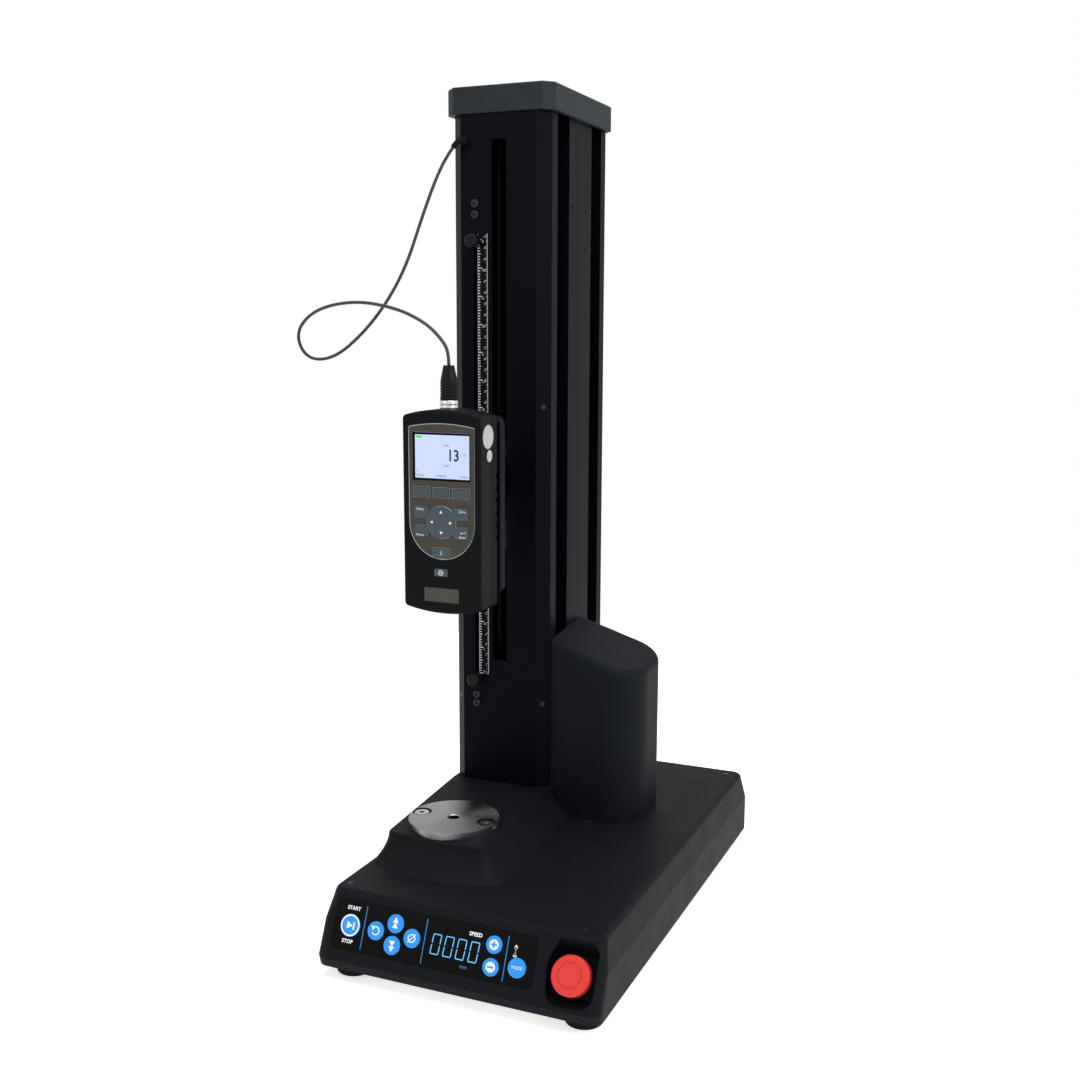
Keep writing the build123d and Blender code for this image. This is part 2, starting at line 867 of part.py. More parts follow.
with BuildPart() as stop_button:
    with BuildSketch(stop_plane.offset(stop_head_rise + stop_bore_gap)):
        Circle(stop_head_radius)
    extrude(amount=stop_head_height)
    axis = Axis(stop_plane.origin, stop_plane.z_dir)
    fillet(stop_button.edges().group_by(axis)[-1], stop_head_edge)
    with BuildSketch(stop_plane.offset(stop_head_rise + stop_bore_gap + stop_head_height)):
        for ring in stop_ring_radii:
            Circle(ring + stop_ring_width / 2)
            Circle(ring - stop_ring_width / 2, mode=Mode.SUBTRACT)
    extrude(amount=-stop_ring_depth, mode=Mode.SUBTRACT)
    with BuildSketch(stop_plane.offset(stop_head_rise)):
        Circle(stop_nose_radius + stop_bore_gap)
    extrude(amount=stop_nose + stop_bore_gap, mode=Mode.SUBTRACT)
stop_button.part.label = "stop_button"
export_step(stop_button.part, "parts/stop_button.step")

# Rear power entry with its rocker, and data socket
flange_face = Plane.XZ.offset(-base_rear_y)
with BuildPart() as power_inlet:
    with BuildSketch(flange_face):
        with Locations((inlet_x, inlet_z)):
            RectangleRounded(inlet_width, inlet_height, inlet_corner)
    extrude(amount=rear_pocket_depth)
    with BuildSketch(flange_face.offset(rear_pocket_depth)):
        with Locations((inlet_x, inlet_z)):
            Rectangle(inlet_body_width, inlet_body_height)
    extrude(amount=inlet_body_depth)
    with BuildSketch(flange_face):
        with Locations((inlet_x + socket_offset, inlet_z)):
            RectangleRounded(socket_width, socket_height, socket_corner)
    extrude(amount=socket_depth, mode=Mode.SUBTRACT)
    with BuildSketch(flange_face.offset(socket_depth)):
        with Locations(
            (inlet_x + socket_offset - blade_spread, inlet_z - blade_rise / 2),
            (inlet_x + socket_offset + blade_spread, inlet_z - blade_rise / 2),
            (inlet_x + socket_offset, inlet_z + blade_rise / 2),
        ):
            Rectangle(blade_width, blade_height)
    extrude(amount=-blade_length)
    with BuildSketch(flange_face):
        with Locations((inlet_x + rocker_offset, inlet_z)):
            Rectangle(rocker_width + 2 * rocker_gap, 2 * (rocker_radius + rocker_gap))
    extrude(amount=socket_depth, mode=Mode.SUBTRACT)
power_inlet.part.label = "power_inlet"
export_step(power_inlet.part, "parts/power_inlet.step")

pivot_y = base_rear_y - rocker_pivot_depth
rocker_plane = Plane(
    origin=(inlet_x + rocker_offset - rocker_width / 2, pivot_y, inlet_z),
    x_dir=(0, cos(radians(rocker_tilt)), sin(radians(rocker_tilt))),
    z_dir=(1, 0, 0),
)
with BuildPart() as power_rocker:
    with BuildSketch(rocker_plane):
        Circle(rocker_radius)
        Polygon(
            (-rocker_back, -rocker_radius),
            (rocker_face + rocker_dish, -rocker_radius),
            (rocker_face, 0),
            (rocker_face + rocker_dish, rocker_radius),
            (-rocker_back, rocker_radius),
            align=None,
            mode=Mode.INTERSECT,
        )
    extrude(amount=rocker_width)
power_rocker.part.label = "power_rocker"
export_step(power_rocker.part, "parts/power_rocker.step")

with BuildPart() as data_port:
    with BuildSketch(flange_face):
        with Locations((data_x, inlet_z)):
            RectangleRounded(data_width, data_height, inlet_corner)
    extrude(amount=rear_pocket_depth)
    with BuildSketch(flange_face.offset(rear_pocket_depth)):
        with Locations((data_x, inlet_z)):
            Rectangle(data_width - 2 - 2 * screw_gap, data_height - 2 - 2 * screw_gap)
    extrude(amount=data_depth - rear_pocket_depth)
    with BuildSketch(flange_face):
        with Locations((data_x, inlet_z)):
            RectangleRounded(data_cavity, data_cavity, 1)
    extrude(amount=data_cavity_depth, mode=Mode.SUBTRACT)
    with BuildSketch(flange_face.offset(data_cavity_depth)):
        with Locations((data_x, inlet_z)):
            Rectangle(data_tongue[0], data_tongue[1])
    extrude(amount=-data_tongue[2])
data_port.part.label = "data_port"
export_step(data_port.part, "parts/data_port.step")

# Specimen plate and its two low-head screws
with BuildPart() as specimen_plate:
    with BuildSketch(Plane.XY.offset(pedestal_top_z)):
        with Locations((load_x, load_y)):
            Circle(plate_radius)
    extrude(amount=plate_thick)
    with BuildSketch(Plane.XY.offset(pedestal_top_z)):
        with Locations((load_x, load_y)):
            Circle(plate_hole_radius)
        with Locations(*plate_screw_places):
            Circle(plate_screw_radius + plate_screw_gap)
    extrude(amount=plate_thick, mode=Mode.SUBTRACT)
    with BuildSketch(Plane.XY.offset(plate_top_z)):
        with Locations((load_x, load_y)):
            Circle(plate_hole_radius + plate_hole_chamfer)
    extrude(amount=-plate_hole_chamfer, taper=45, mode=Mode.SUBTRACT)
    with BuildSketch(Plane.XY.offset(plate_top_z)):
        with Locations(*plate_screw_places):
            Circle(counterbore_radius)
    extrude(amount=-counterbore_depth, mode=Mode.SUBTRACT)
specimen_plate.part.label = "specimen_plate"
export_step(specimen_plate.part, "parts/specimen_plate.step")

with BuildPart() as specimen_plate_screws:
    seat_z = plate_top_z - counterbore_depth
    with BuildSketch(Plane.XY.offset(seat_z)):
        with Locations(*plate_screw_places):
            Circle(plate_screw_head_radius)
    extrude(amount=plate_screw_head)
    with BuildSketch(Plane.XY.offset(seat_z + plate_screw_head)):
        with Locations(*plate_screw_places):
            RegularPolygon(plate_screw_key / sqrt(3), 6)
    extrude(amount=-plate_screw_key_depth, mode=Mode.SUBTRACT)
    with BuildSketch(Plane.XY.offset(seat_z)):
        with Locations(*plate_screw_places):
            Circle(plate_screw_radius)
    extrude(amount=pedestal_top_z - seat_z - plate_screw_length + plate_screw_clear)
specimen_plate_screws.part.label = "specimen_plate_screws"
export_step(specimen_plate_screws.part, "parts/specimen_plate_screws.step")

# Column extrusion: one profile with lips, side grooves and a stepped hollow
half = column_width / 2
cover_corner = half - column_chamfer - front_cover_thick * tan(pi / 8)
cover_end = half - front_cover_thick * sqrt(2)
cover_end_y = column_front + column_chamfer
wall_inner = half - column_wall
groove_inner = half - groove_depth - groove_wall
with BuildPart() as column_extrusion:
    with BuildSketch(Plane.XY.offset(pedestal_top_z)):
        mirrored([
            (lip_reach, cover_inner_y),
            (cover_corner, cover_inner_y),
            (cover_end, cover_end_y),
            (half, cover_end_y),
            (half, column_rear - column_rear_chamfer),
            (half - column_rear_chamfer, column_rear),
        ])
    extrude(amount=column_top_z - pedestal_top_z)
    with BuildSketch(Plane.XY.offset(pedestal_top_z)):
        mirrored([
            (lip_reach, cover_inner_y - lip_thick),
            (lip_reach, cover_inner_y + lip_thick),
            (cover_corner, cover_inner_y + lip_thick),
            (wall_inner, cover_end_y + groove_side),
            (wall_inner, front_groove[0] - groove_side),
            (groove_inner, front_groove[0] - groove_side),
            (groove_inner, front_groove[1] + groove_side),
            (wall_inner, front_groove[1] + groove_side),
            (wall_inner, rear_groove[0] - groove_side),
            (groove_inner, rear_groove[0] - groove_side),
            (groove_inner, rear_groove[1] + groove_side),
            (wall_inner, rear_groove[1] + groove_side),
            (wall_inner, column_rear - column_rear_chamfer),
            (wall_inner - column_wall, column_rear - column_wall),
        ])
    extrude(amount=column_top_z - pedestal_top_z, mode=Mode.SUBTRACT)
    for side in (-1, 1):
        for groove in (front_groove, rear_groove):
            with BuildSketch(Plane.XY.offset(pedestal_top_z)):
                with Locations((column_x + side * half, sum(groove) / 2)):
                    Rectangle(2 * groove_depth, groove[1] - groove[0])
            extrude(amount=column_top_z - pedestal_top_z, mode=Mode.SUBTRACT)
    right_face = Plane(origin=(column_right, 0, 0), x_dir=(0, 1, 0), z_dir=(1, 0, 0))
    with BuildSketch(right_face):
        with Locations(*[(y, z) for y in side_hole_y for z in side_hole_z]):
            Circle(side_hole_radius)
    extrude(amount=-2 * column_wall, mode=Mode.SUBTRACT)
    with BuildSketch(Plane.XZ.offset(-cover_inner_y)):
        with Locations((gland_x, gland_z)):
            Circle(gland_shank_radius + gland_port_gap)
    extrude(amount=-2 * lip_thick, mode=Mode.SUBTRACT)
column_extrusion.part.label = "column_extrusion"
export_step(column_extrusion.part, "parts/column_extrusion.step")

# Chamfered front cover with the crosshead slot and the stop slot
chamfer_planes = {
    side: Plane(
        origin=(column_x + side * (half - column_chamfer / 2), column_front + column_chamfer / 2, 0),
        x_dir=(1, side, 0),
        z_dir=(side, -1, 0),
    )
    for side in (-1, 1)
}
cover_screws = [(1, cover_screw_z[0]), (1, cover_screw_z[1]), (-1, cover_screw_z[0])]
front_face = Plane.XZ.offset(-column_front)
with BuildPart() as column_front_cover:
    with BuildSketch(Plane.XY.offset(pedestal_top_z)):
        mirrored([
            (half - column_chamfer, column_front),
            (half, cover_end_y),
            (cover_end, cover_end_y),
            (cover_corner, cover_inner_y),
        ])
    extrude(amount=column_top_z - pedestal_top_z)
    with BuildSketch(front_face):
        with Locations((slot_x, (slot_low_z + slot_high_z) / 2)):
            Rectangle(slot_width, slot_high_z - slot_low_z)
        with Locations((stop_slot_x, (stop_slot_low_z + stop_slot_high_z) / 2)):
            SlotOverall(stop_slot_high_z - stop_slot_low_z, stop_slot_width, rotation=90)
        with Locations(*[(stop_slot_x, z) for z in button_screw_z]):
            Circle(button_shank_radius + screw_gap)
        with Locations((gland_x, gland_z)):
            Circle(gland_shank_radius + gland_port_gap)
    extrude(amount=-2 * front_cover_thick, mode=Mode.SUBTRACT)
    for side, z in cover_screws:
        with BuildSketch(chamfer_planes[side]):
            with Locations((0, z)):
                Circle(cover_screw_radius + screw_gap)
        extrude(amount=-cover_screw_head, mode=Mode.SUBTRACT)
        with BuildSketch(chamfer_planes[side]):
            with Locations((0, z)):
                Circle(cover_screw_shank_radius + screw_gap)
        extrude(amount=-2 * front_cover_thick, mode=Mode.SUBTRACT)
column_front_cover.part.label = "column_front_cover"
export_step(column_front_cover.part, "parts/column_front_cover.step")

# Screws that show: four in the base top, four for the stop guide, three in the cover's chamfers
with BuildPart() as housing_screws:
    with BuildSketch(front_face):
        with Locations(*[(stop_slot_x, z) for z in button_screw_z]):
            Circle(button_head_radius)
    extrude(amount=button_head)
    fillet(housing_screws.edges().group_by(Axis.Y)[0], button_edge)
    with BuildSketch(front_face.offset(button_head)):
        with Locations(*[(stop_slot_x, z) for z in button_screw_z]):
            RegularPolygon(button_key / sqrt(3), 6)
    extrude(amount=-button_key_depth, mode=Mode.SUBTRACT)
    with BuildSketch(front_face):
        with Locations(*[(stop_slot_x, z) for z in button_screw_z]):
            Circle(button_shank_radius)
    extrude(amount=-button_shank)
    with BuildSketch(Plane.XY.offset(base_top_z)):
        with Locations(*base_screw_places):
            Circle(base_screw_radius)
    extrude(amount=-base_screw_head)
    with BuildSketch(Plane.XY.offset(base_top_z)):
        with Locations(*base_screw_places):
            Circle(base_screw_shank_radius)
    extrude(amount=-base_screw_shank)
    for side, z in cover_screws:
        with BuildSketch(chamfer_planes[side]):
            with Locations((0, z)):
                Circle(cover_screw_radius)
        extrude(amount=-cover_screw_head)
        with BuildSketch(chamfer_planes[side]):
            with Locations((0, z)):
                Circle(cover_screw_shank_radius)
        extrude(amount=-cover_screw_shank)
housing_screws.part.label = "housing_screws"
export_step(housing_screws.part, "parts/housing_screws.step")

with BuildPart() as top_cap:
    with BuildSketch(Plane.XY.offset(cap_low_z)):
        cap_half = half + cap_overhang
        cap_front = column_front - cap_front_overhang
        cap_rear = column_rear + cap_rear_overhang
        mirrored([
            (cap_half - cap_chamfer, cap_front),
            (cap_half, cap_front + cap_chamfer),
            (cap_half, cap_rear - cap_chamfer),
            (cap_half - cap_chamfer, cap_rear),
        ])
    extrude(amount=cap_high_z - cap_low_z)
    fillet(top_cap.edges().group_by(Axis.Z)[-1], cap_edge)
    with BuildSketch(Plane.XY.offset(cap_low_z)):
        column_outline(cap_gap)
    extrude(amount=column_top_z - cap_low_z, mode=Mode.SUBTRACT)
top_cap.part.label = "top_cap"
export_step(top_cap.part, "parts/top_cap.step")

with BuildPart() as ruler:
    with BuildSketch(front_face):
        with Locations((ruler_left + ruler_width / 2, (ruler_low_z + ruler_high_z) / 2)):
            Rectangle(ruler_width, ruler_high_z - ruler_low_z)
    extrude(amount=ruler_thick)
ruler.part.label = "ruler"
export_step(ruler.part, "parts/ruler.step")

# Slotted guide behind the cover, and the two limit stops that slide in it
inner_face = Plane.XZ.offset(-cover_inner_y)
with BuildPart() as stop_guide:
    with BuildSketch(inner_face):
        with Locations((stop_slot_x, (guide_low_z + guide_high_z) / 2)):
            Rectangle(guide_width, guide_high_z - guide_low_z)
        with Locations((stop_slot_x, (guide_slot_low_z + guide_slot_high_z) / 2)):
            Rectangle(guide_slot, guide_slot_high_z - guide_slot_low_z, mode=Mode.SUBTRACT)
        with Locations(*[(stop_slot_x, z) for z in button_screw_z]):
            Circle(button_shank_radius + screw_gap, mode=Mode.SUBTRACT)
    extrude(amount=-guide_thick)
stop_guide.part.label = "stop_guide"
export_step(stop_guide.part, "parts/stop_guide.step")

stop_knob_face = Plane.XZ.offset(-column_front + knob_clear)
for stop_name, stop_z in (("upper_limit_stop", upper_stop_z), ("lower_limit_stop", lower_stop_z)):
    with BuildPart() as limit_stop:
        with BuildSketch(stop_knob_face):
            with Locations((stop_slot_x, stop_z)):
                Circle(knob_radius)
        extrude(amount=knob_length)
        chamfer(limit_stop.edges().group_by(Axis.Y)[0], knob_edge)
        with BuildSketch(stop_knob_face):
            with Locations((stop_slot_x, stop_z)):
                Circle(knob_stem_radius)
        extrude(amount=-knob_clear - front_cover_thick - 2 * slider_gap)
        with BuildSketch(inner_face.offset(-slider_gap)):
            with Locations((stop_slot_x, stop_z)):
                Rectangle(slider_width, slider_height)
        extrude(amount=-slider_thick)
        with BuildSketch(inner_face.offset(-slider_gap - slider_thick)):
            with Locations((stop_slot_x, stop_z)):
                Rectangle(vane_thick, slider_height)
        extrude(amount=-vane_reach)
    limit_stop.part.label = stop_name
    export_step(limit_stop.part, f"parts/{stop_name}.step")

# Motor shroud: a hollow with the same shape is cut from the outer form
roof = Plane(
    origin=(column_right, shroud_rear_y, shroud_roof_z),
    z_dir=(shroud_roof_fall, -shroud_roof_pitch, 1),
)


def shroud_form(left, inset):
    """Shroud's outer form, or its hollow when inset is the wall."""
    low_z = base_top_z + shroud_seat_gap - inset
    with BuildSketch(Plane.XY.offset(low_z)) as plan:
        with BuildLine():
            FilletPolyline(
                (left, shroud_left_front_y + inset),
                (shroud_right - inset, shroud_right_front_y + inset),
                (shroud_right - inset, shroud_rear_y - inset),
                (left, shroud_rear_y - inset),
                radius=(0, shroud_front_corner - inset, shroud_rear_corner - inset, 0),
                close=True,
            )
        make_face()
    extrude(plan.sketch, amount=shroud_roof_z)
    split(bisect_by=roof.offset(-inset), keep=Keep.BOTTOM)


with BuildPart() as shroud_hollow:
    shroud_form(column_right - shroud_wall, shroud_wall)
    rim = shroud_hollow.faces().sort_by(Axis(roof.origin, roof.z_dir))[-1].edges().sort_by(Axis.X)[1:]
    fillet(rim, shroud_edge - shroud_wall)

with BuildPart() as motor_shroud:
    shroud_form(column_right + shroud_seat_gap, 0)
    rim = motor_shroud.faces().sort_by(Axis(roof.origin, roof.z_dir))[-1].edges().sort_by(Axis.X)[1:]
    fillet(rim, shroud_edge)
    add(shroud_hollow.part, mode=Mode.SUBTRACT)
    pedestal_form(shroud_seat_gap, mode=Mode.SUBTRACT)
motor_shroud.part.label = "motor_shroud"
export_step(motor_shroud.part, "parts/motor_shroud.step")

# Drive motor on its bracket, belt and pulleys
with BuildPart() as motor_bracket:
    with BuildSketch(Plane.XY.offset(motor_low_z)):
        with Locations(((column_right + bracket_right) / 2, (bracket_front + bracket_rear) / 2)):
            Rectangle(bracket_right - column_right, bracket_rear - bracket_front)
        with Locations((motor_x, motor_y)):
            Circle(motor_pilot, mode=Mode.SUBTRACT)
    extrude(amount=-bracket_thick)
    with BuildSketch(Plane.XY.offset(motor_low_z)):
        with Locations((column_right + bracket_thick / 2, (bracket_front + bracket_rear) / 2)):
            Rectangle(bracket_thick, bracket_rear - bracket_front)
    extrude(amount=bracket_lip)
motor_bracket.part.label = "motor_bracket"
export_step(motor_bracket.part, "parts/motor_bracket.step")

with BuildPart() as motor:
    with BuildSketch(Plane.XY.offset(motor_low_z)):
        with Locations((motor_x, motor_y)):
            RectangleRounded(motor_flange, motor_flange, motor_edge)
    extrude(amount=motor_flange_thick)
    with BuildSketch(Plane.XY.offset(motor_low_z + motor_flange_thick)):
        with Locations((motor_x, motor_y)):
            Circle(motor_radius)
    extrude(amount=motor_height - motor_flange_thick)
    fillet(motor.edges().group_by(Axis.Z)[-1], motor_edge)
    with BuildSketch(Plane.XY.offset(motor_low_z)):
        with Locations((motor_x, motor_y)):
            Circle(motor_shaft_radius + running_gap)
    extrude(amount=motor_shaft_seat + running_gap, mode=Mode.SUBTRACT)
motor.part.label = "motor"
export_step(motor.part, "parts/motor.step")

belt_low_z = pulley_low_z + pulley_flange_thick + belt_gap
belt_zone = belt_width + 2 * belt_gap


def pulley_form(place, radius):
    """Belt pulley with a flange at each end."""
    with BuildSketch(Plane((*place, pulley_low_z))) as rim:
        Circle(radius)
    extrude(rim.sketch, amount=belt_zone + 2 * pulley_flange_thick)
    for z in (pulley_low_z, pulley_low_z + pulley_flange_thick + belt_zone):
        with BuildSketch(Plane((*place, z))) as flange:
            Circle(radius + pulley_flange_rise)
        extrude(flange.sketch, amount=pulley_flange_thick)


with BuildPart() as drive_pulley:
    pulley_form((motor_x, motor_y), drive_pulley_radius)
    with BuildSketch(Plane((motor_x, motor_y, pulley_low_z))):
        Circle(motor_shaft_radius)
    extrude(amount=motor_low_z + motor_shaft_seat - pulley_low_z)
drive_pulley.part.label = "drive_pulley"
export_step(drive_pulley.part, "parts/drive_pulley.step")

with BuildPart() as driven_pulley:
    pulley_form(screw_place, driven_pulley_radius)
    with BuildSketch(Plane((*screw_place, pulley_low_z))):
        Circle(screw_radius + running_gap)
    extrude(amount=belt_zone + 2 * pulley_flange_thick, mode=Mode.SUBTRACT)
driven_pulley.part.label = "driven_pulley"
export_step(driven_pulley.part, "parts/driven_pulley.step")

with BuildPart() as timing_belt:
    for skin, mode in ((belt_gap + belt_thick, Mode.ADD), (belt_gap, Mode.SUBTRACT)):
        with BuildSketch(Plane.XY.offset(belt_low_z)):
            with Locations((motor_x, motor_y)):
                Circle(drive_pulley_radius + skin)
            with Locations(screw_place):
                Circle(driven_pulley_radius + skin)
            make_hull()
        extrude(amount=belt_width, mode=mode)
timing_belt.part.label = "timing_belt"
export_step(timing_belt.part, "parts/timing_belt.step")

with BuildPart() as lead_screw:
    with BuildSketch(Plane((*screw_place, screw_low_z))):
        Circle(screw_radius)
    extrude(amount=drive_top_z - screw_low_z)
lead_screw.part.label = "lead_screw"
export_step(lead_screw.part, "parts/lead_screw.step")

with BuildPart() as guide_rods:
    with BuildSketch(Plane.XY.offset(block_low_z)):
        with Locations(*rod_places):
            Circle(rod_radius)
    extrude(amount=drive_top_z - block_low_z)
guide_rods.part.label = "guide_rods"
export_step(guide_rods.part, "parts/guide_rods.step")

# End blocks that hold the rods and carry the screw in ring bearings
with BuildPart() as bearing_blocks:
    for z in (block_low_z, upper_block_z):
        with BuildSketch(Plane.XY.offset(z)):
            with Locations((column_x, (block_front + block_rear) / 2)):
                Rectangle(2 * groove_inner, block_rear - block_front)
            with Locations(*rod_places):
                Circle(rod_radius + running_gap, mode=Mode.SUBTRACT)
            with Locations(screw_place):
                Circle(bearing_radius, mode=Mode.SUBTRACT)
        extrude(amount=block_thick)
        with BuildSketch(Plane((*screw_place, z + (block_thick - bearing_thick) / 2))):
            Circle(bearing_radius - running_gap)
            Circle(screw_radius + running_gap, mode=Mode.SUBTRACT)
        extrude(amount=bearing_thick)
bearing_blocks.part.label = "bearing_blocks"
export_step(bearing_blocks.part, "parts/bearing_blocks.step")

# Crosshead carriage with bushes, lead nut and a fork that senses the limit stops
with BuildPart() as carriage:
    with BuildSketch(Plane.XY.offset(carriage_low_z)):
        with Locations((column_x, (carriage_front + carriage_rear) / 2)):
            RectangleRounded(2 * carriage_half_width, carriage_rear - carriage_front, carriage_edge)
        with Locations(*rod_places):
            Circle(bush_radius + running_gap, mode=Mode.SUBTRACT)
        with Locations(screw_place):
            Circle(screw_radius + screw_clearance, mode=Mode.SUBTRACT)
    extrude(amount=carriage_high_z - carriage_low_z)
    with BuildSketch(Plane((*screw_place, carriage_low_z))):
        Circle(nut_radius + running_gap)
    extrude(amount=nut_length, mode=Mode.SUBTRACT)
    with BuildSketch(Plane.XY.offset(sensor_z - sensor_height / 2)):
        with Locations((stop_slot_x, carriage_front - sensor_reach / 2)):
            Rectangle(sensor_width, sensor_reach)
        with Locations((stop_slot_x, carriage_front - sensor_root - sensor_reach / 2)):
            Rectangle(sensor_gap, sensor_reach, mode=Mode.SUBTRACT)
    extrude(amount=sensor_height)
carriage.part.label = "carriage"
export_step(carriage.part, "parts/carriage.step")

with BuildPart() as guide_bushes:
    for z in (carriage_low_z, carriage_high_z - bush_length):
        with BuildSketch(Plane.XY.offset(z)):
            with Locations(*rod_places):
                Circle(bush_radius)
                Circle(rod_radius + running_gap, mode=Mode.SUBTRACT)
        extrude(amount=bush_length)
guide_bushes.part.label = "guide_bushes"
export_step(guide_bushes.part, "parts/guide_bushes.step")

with BuildPart() as lead_nut:
    with BuildSketch(Plane((*screw_place, carriage_low_z))):
        Circle(nut_radius)
    extrude(amount=nut_length - screw_gap)
    with BuildSketch(Plane((*screw_place, carriage_low_z))):
        Circle(nut_flange_radius)
    extrude(amount=-nut_flange)
    with BuildSketch(Plane((*screw_place, carriage_low_z - nut_flange))):
        Circle(screw_radius + running_gap)
    extrude(amount=nut_length + nut_flange, mode=Mode.SUBTRACT)
lead_nut.part.label = "lead_nut"
export_step(lead_nut.part, "parts/lead_nut.step")

# Arm: a narrow bar through the slot that swells to the width of the mounting plate
with BuildPart() as crosshead_arm:
    with BuildSketch(Plane.XZ.offset(-carriage_front)):
        with Locations((slot_x, crosshead_z)):
            Rectangle(*arm_foot)
    extrude(amount=arm_foot_thick)
    with BuildSketch(Plane.XZ.offset(-carriage_front)):
        with Locations((slot_x, crosshead_z)):
            RectangleRounded(arm_width, arm_height, arm_edge)
    extrude(amount=carriage_front - arm_straight_y)
    head_face = Plane.XZ.offset(-mount_plate_rear - arm_head_thick)
    with BuildSketch(Plane.XZ.offset(-arm_straight_y)):
        with Locations((slot_x, crosshead_z)):
            RectangleRounded(arm_width, arm_height, arm_edge)
    with BuildSketch(head_face):
        with Locations((load_x, crosshead_z)):
            RectangleRounded(*arm_head, arm_head_corner)
    loft()
    with BuildSketch(head_face):
        with Locations((load_x, crosshead_z)):
            RectangleRounded(*arm_head, arm_head_corner)
    extrude(amount=arm_head_thick)
crosshead_arm.part.label = "crosshead_arm"
export_step(crosshead_arm.part, "parts/crosshead_arm.step")

with BuildPart() as gauge_mount_plate:
    with BuildSketch(Plane.XZ.offset(-mount_plate_rear)):
        with Locations((load_x, crosshead_z + (mount_plate_high - mount_plate_low) / 2)):
            RectangleRounded(mount_plate_width, mount_plate_high + mount_plate_low, mount_plate_corner)
    extrude(amount=mount_plate_thick)
    chamfer(gauge_mount_plate.edges().group_by(Axis.Y)[0], mount_plate_edge)
    with BuildSketch(Plane.XZ.offset(-mount_plate_front)):
        for side in (-1, 1):
            with Locations(
                (load_x + side * standoff_x, gauge_board_z - standoff_z),
                (load_x + side * standoff_x, gauge_board_z + standoff_z),
            ):
                Circle(standoff_radius)
    extrude(amount=mount_plate_front - gauge_rear)
gauge_mount_plate.part.label = "gauge_mount_plate"
export_step(gauge_mount_plate.part, "parts/gauge_mount_plate.step")

# Force gauge: two shells on a load cell
gauge_face = Plane.XZ.offset(-gauge_front)
label_face = gauge_face.offset(-label_recess)
with BuildPart() as gauge_front_shell:
    with BuildSketch(gauge_face):
        gauge_outline()
    extrude(amount=gauge_front - gauge_split)
    fillet(gauge_front_shell.edges().group_by(Axis.Y)[0], gauge_edge)
    with BuildSketch(gauge_face.offset(-gauge_wall)):
        gauge_outline(gauge_wall)
    extrude(amount=gauge_front - gauge_split, mode=Mode.SUBTRACT)
    with BuildSketch(gauge_face):
        label_outline()
    extrude(amount=-label_recess, mode=Mode.SUBTRACT)
    with BuildSketch(gauge_face):
        for name in gauge_keys:
            gauge_key_outline(name, gauge_key_gap)
        with Locations((pad_x, pad_z)):
            Circle(pad_radius + gauge_key_gap)
        with Locations((window_x, window_z)):
            Rectangle(window_width + 2 * window_gap, window_height + 2 * window_gap)
    extrude(amount=-2 * gauge_wall, mode=Mode.SUBTRACT)
    with BuildSketch(Plane.XY.offset(gauge_high_z - gauge_wall)):
        with Locations((plug_x, plug_y)):
            Circle(plug_radius + plug_port_gap)
    extrude(amount=4 * gauge_wall, mode=Mode.SUBTRACT)
    with BuildSketch(Plane.XY.offset(gauge_low_z + gauge_wall)):
        with Locations((load_x, load_y)):
            Circle(spindle_radius + spindle_port_gap)
    extrude(amount=-4 * gauge_wall, mode=Mode.SUBTRACT)
gauge_front_shell.part.label = "gauge_front_shell"
export_step(gauge_front_shell.part, "parts/gauge_front_shell.step")

with BuildPart() as gauge_rear_shell:
    with BuildSketch(Plane.XZ.offset(-gauge_rear)):
        gauge_outline()
    extrude(amount=gauge_rear - gauge_split)
    fillet(gauge_rear_shell.edges().group_by(Axis.Y)[-1], gauge_edge)
    with BuildSketch(Plane.XZ.offset(-gauge_split)):
        gauge_outline(gauge_wall)
    extrude(amount=gauge_split - gauge_rear + gauge_wall, mode=Mode.SUBTRACT)
    with BuildSketch(Plane.XZ.offset(-gauge_rear)):
        for side in (-1, 1):
            edge_x = load_x + side * (gauge_width / 2 + grip_radius - grip_depth)
            with Locations(*[
                (edge_x, grip_centre_z + grip_pitch * (number - (grip_count - 1) / 2))
                for number in range(grip_count)
            ]):
                Circle(grip_radius)
    extrude(amount=grip_length, mode=Mode.SUBTRACT)
    with BuildSketch(Plane.XY.offset(gauge_high_z - gauge_wall)):
        with Locations((plug_x, plug_y)):
            Circle(plug_radius + plug_port_gap)
    extrude(amount=4 * gauge_wall, mode=Mode.SUBTRACT)
    with BuildSketch(Plane.XY.offset(gauge_low_z + gauge_wall)):
        with Locations((load_x, load_y)):
            Circle(spindle_radius + spindle_port_gap)
    extrude(amount=-4 * gauge_wall, mode=Mode.SUBTRACT)
gauge_rear_shell.part.label = "gauge_rear_shell"
export_step(gauge_rear_shell.part, "parts/gauge_rear_shell.step")

# Display window in the face, and the circuit board behind it
with BuildPart() as gauge_display:
    with BuildSketch(label_face.offset(-window_inset)):
        with Locations((window_x, window_z)):
            Rectangle(window_width, window_height)
    extrude(amount=gauge_front + label_recess + window_inset - gauge_board_y + gauge_board[2])
    with BuildSketch(Plane.XZ.offset(-gauge_board_y)):
        with Locations((load_x, gauge_board_z)):
            Rectangle(gauge_board[0], gauge_board[1])
    extrude(amount=gauge_board[2])
gauge_display.part.label = "gauge_display"
export_step(gauge_display.part, "parts/gauge_display.step")

for key_name in gauge_keys:
    with BuildPart() as gauge_key:
        with BuildSketch(label_face.offset(gauge_key_proud)):
            gauge_key_outline(key_name)
        extrude(amount=-gauge_key_depth)
        fillet(gauge_key.edges().group_by(Axis.Y)[0], gauge_key_edge)
    gauge_key.part.label = key_name
    export_step(gauge_key.part, f"parts/{key_name}.step")

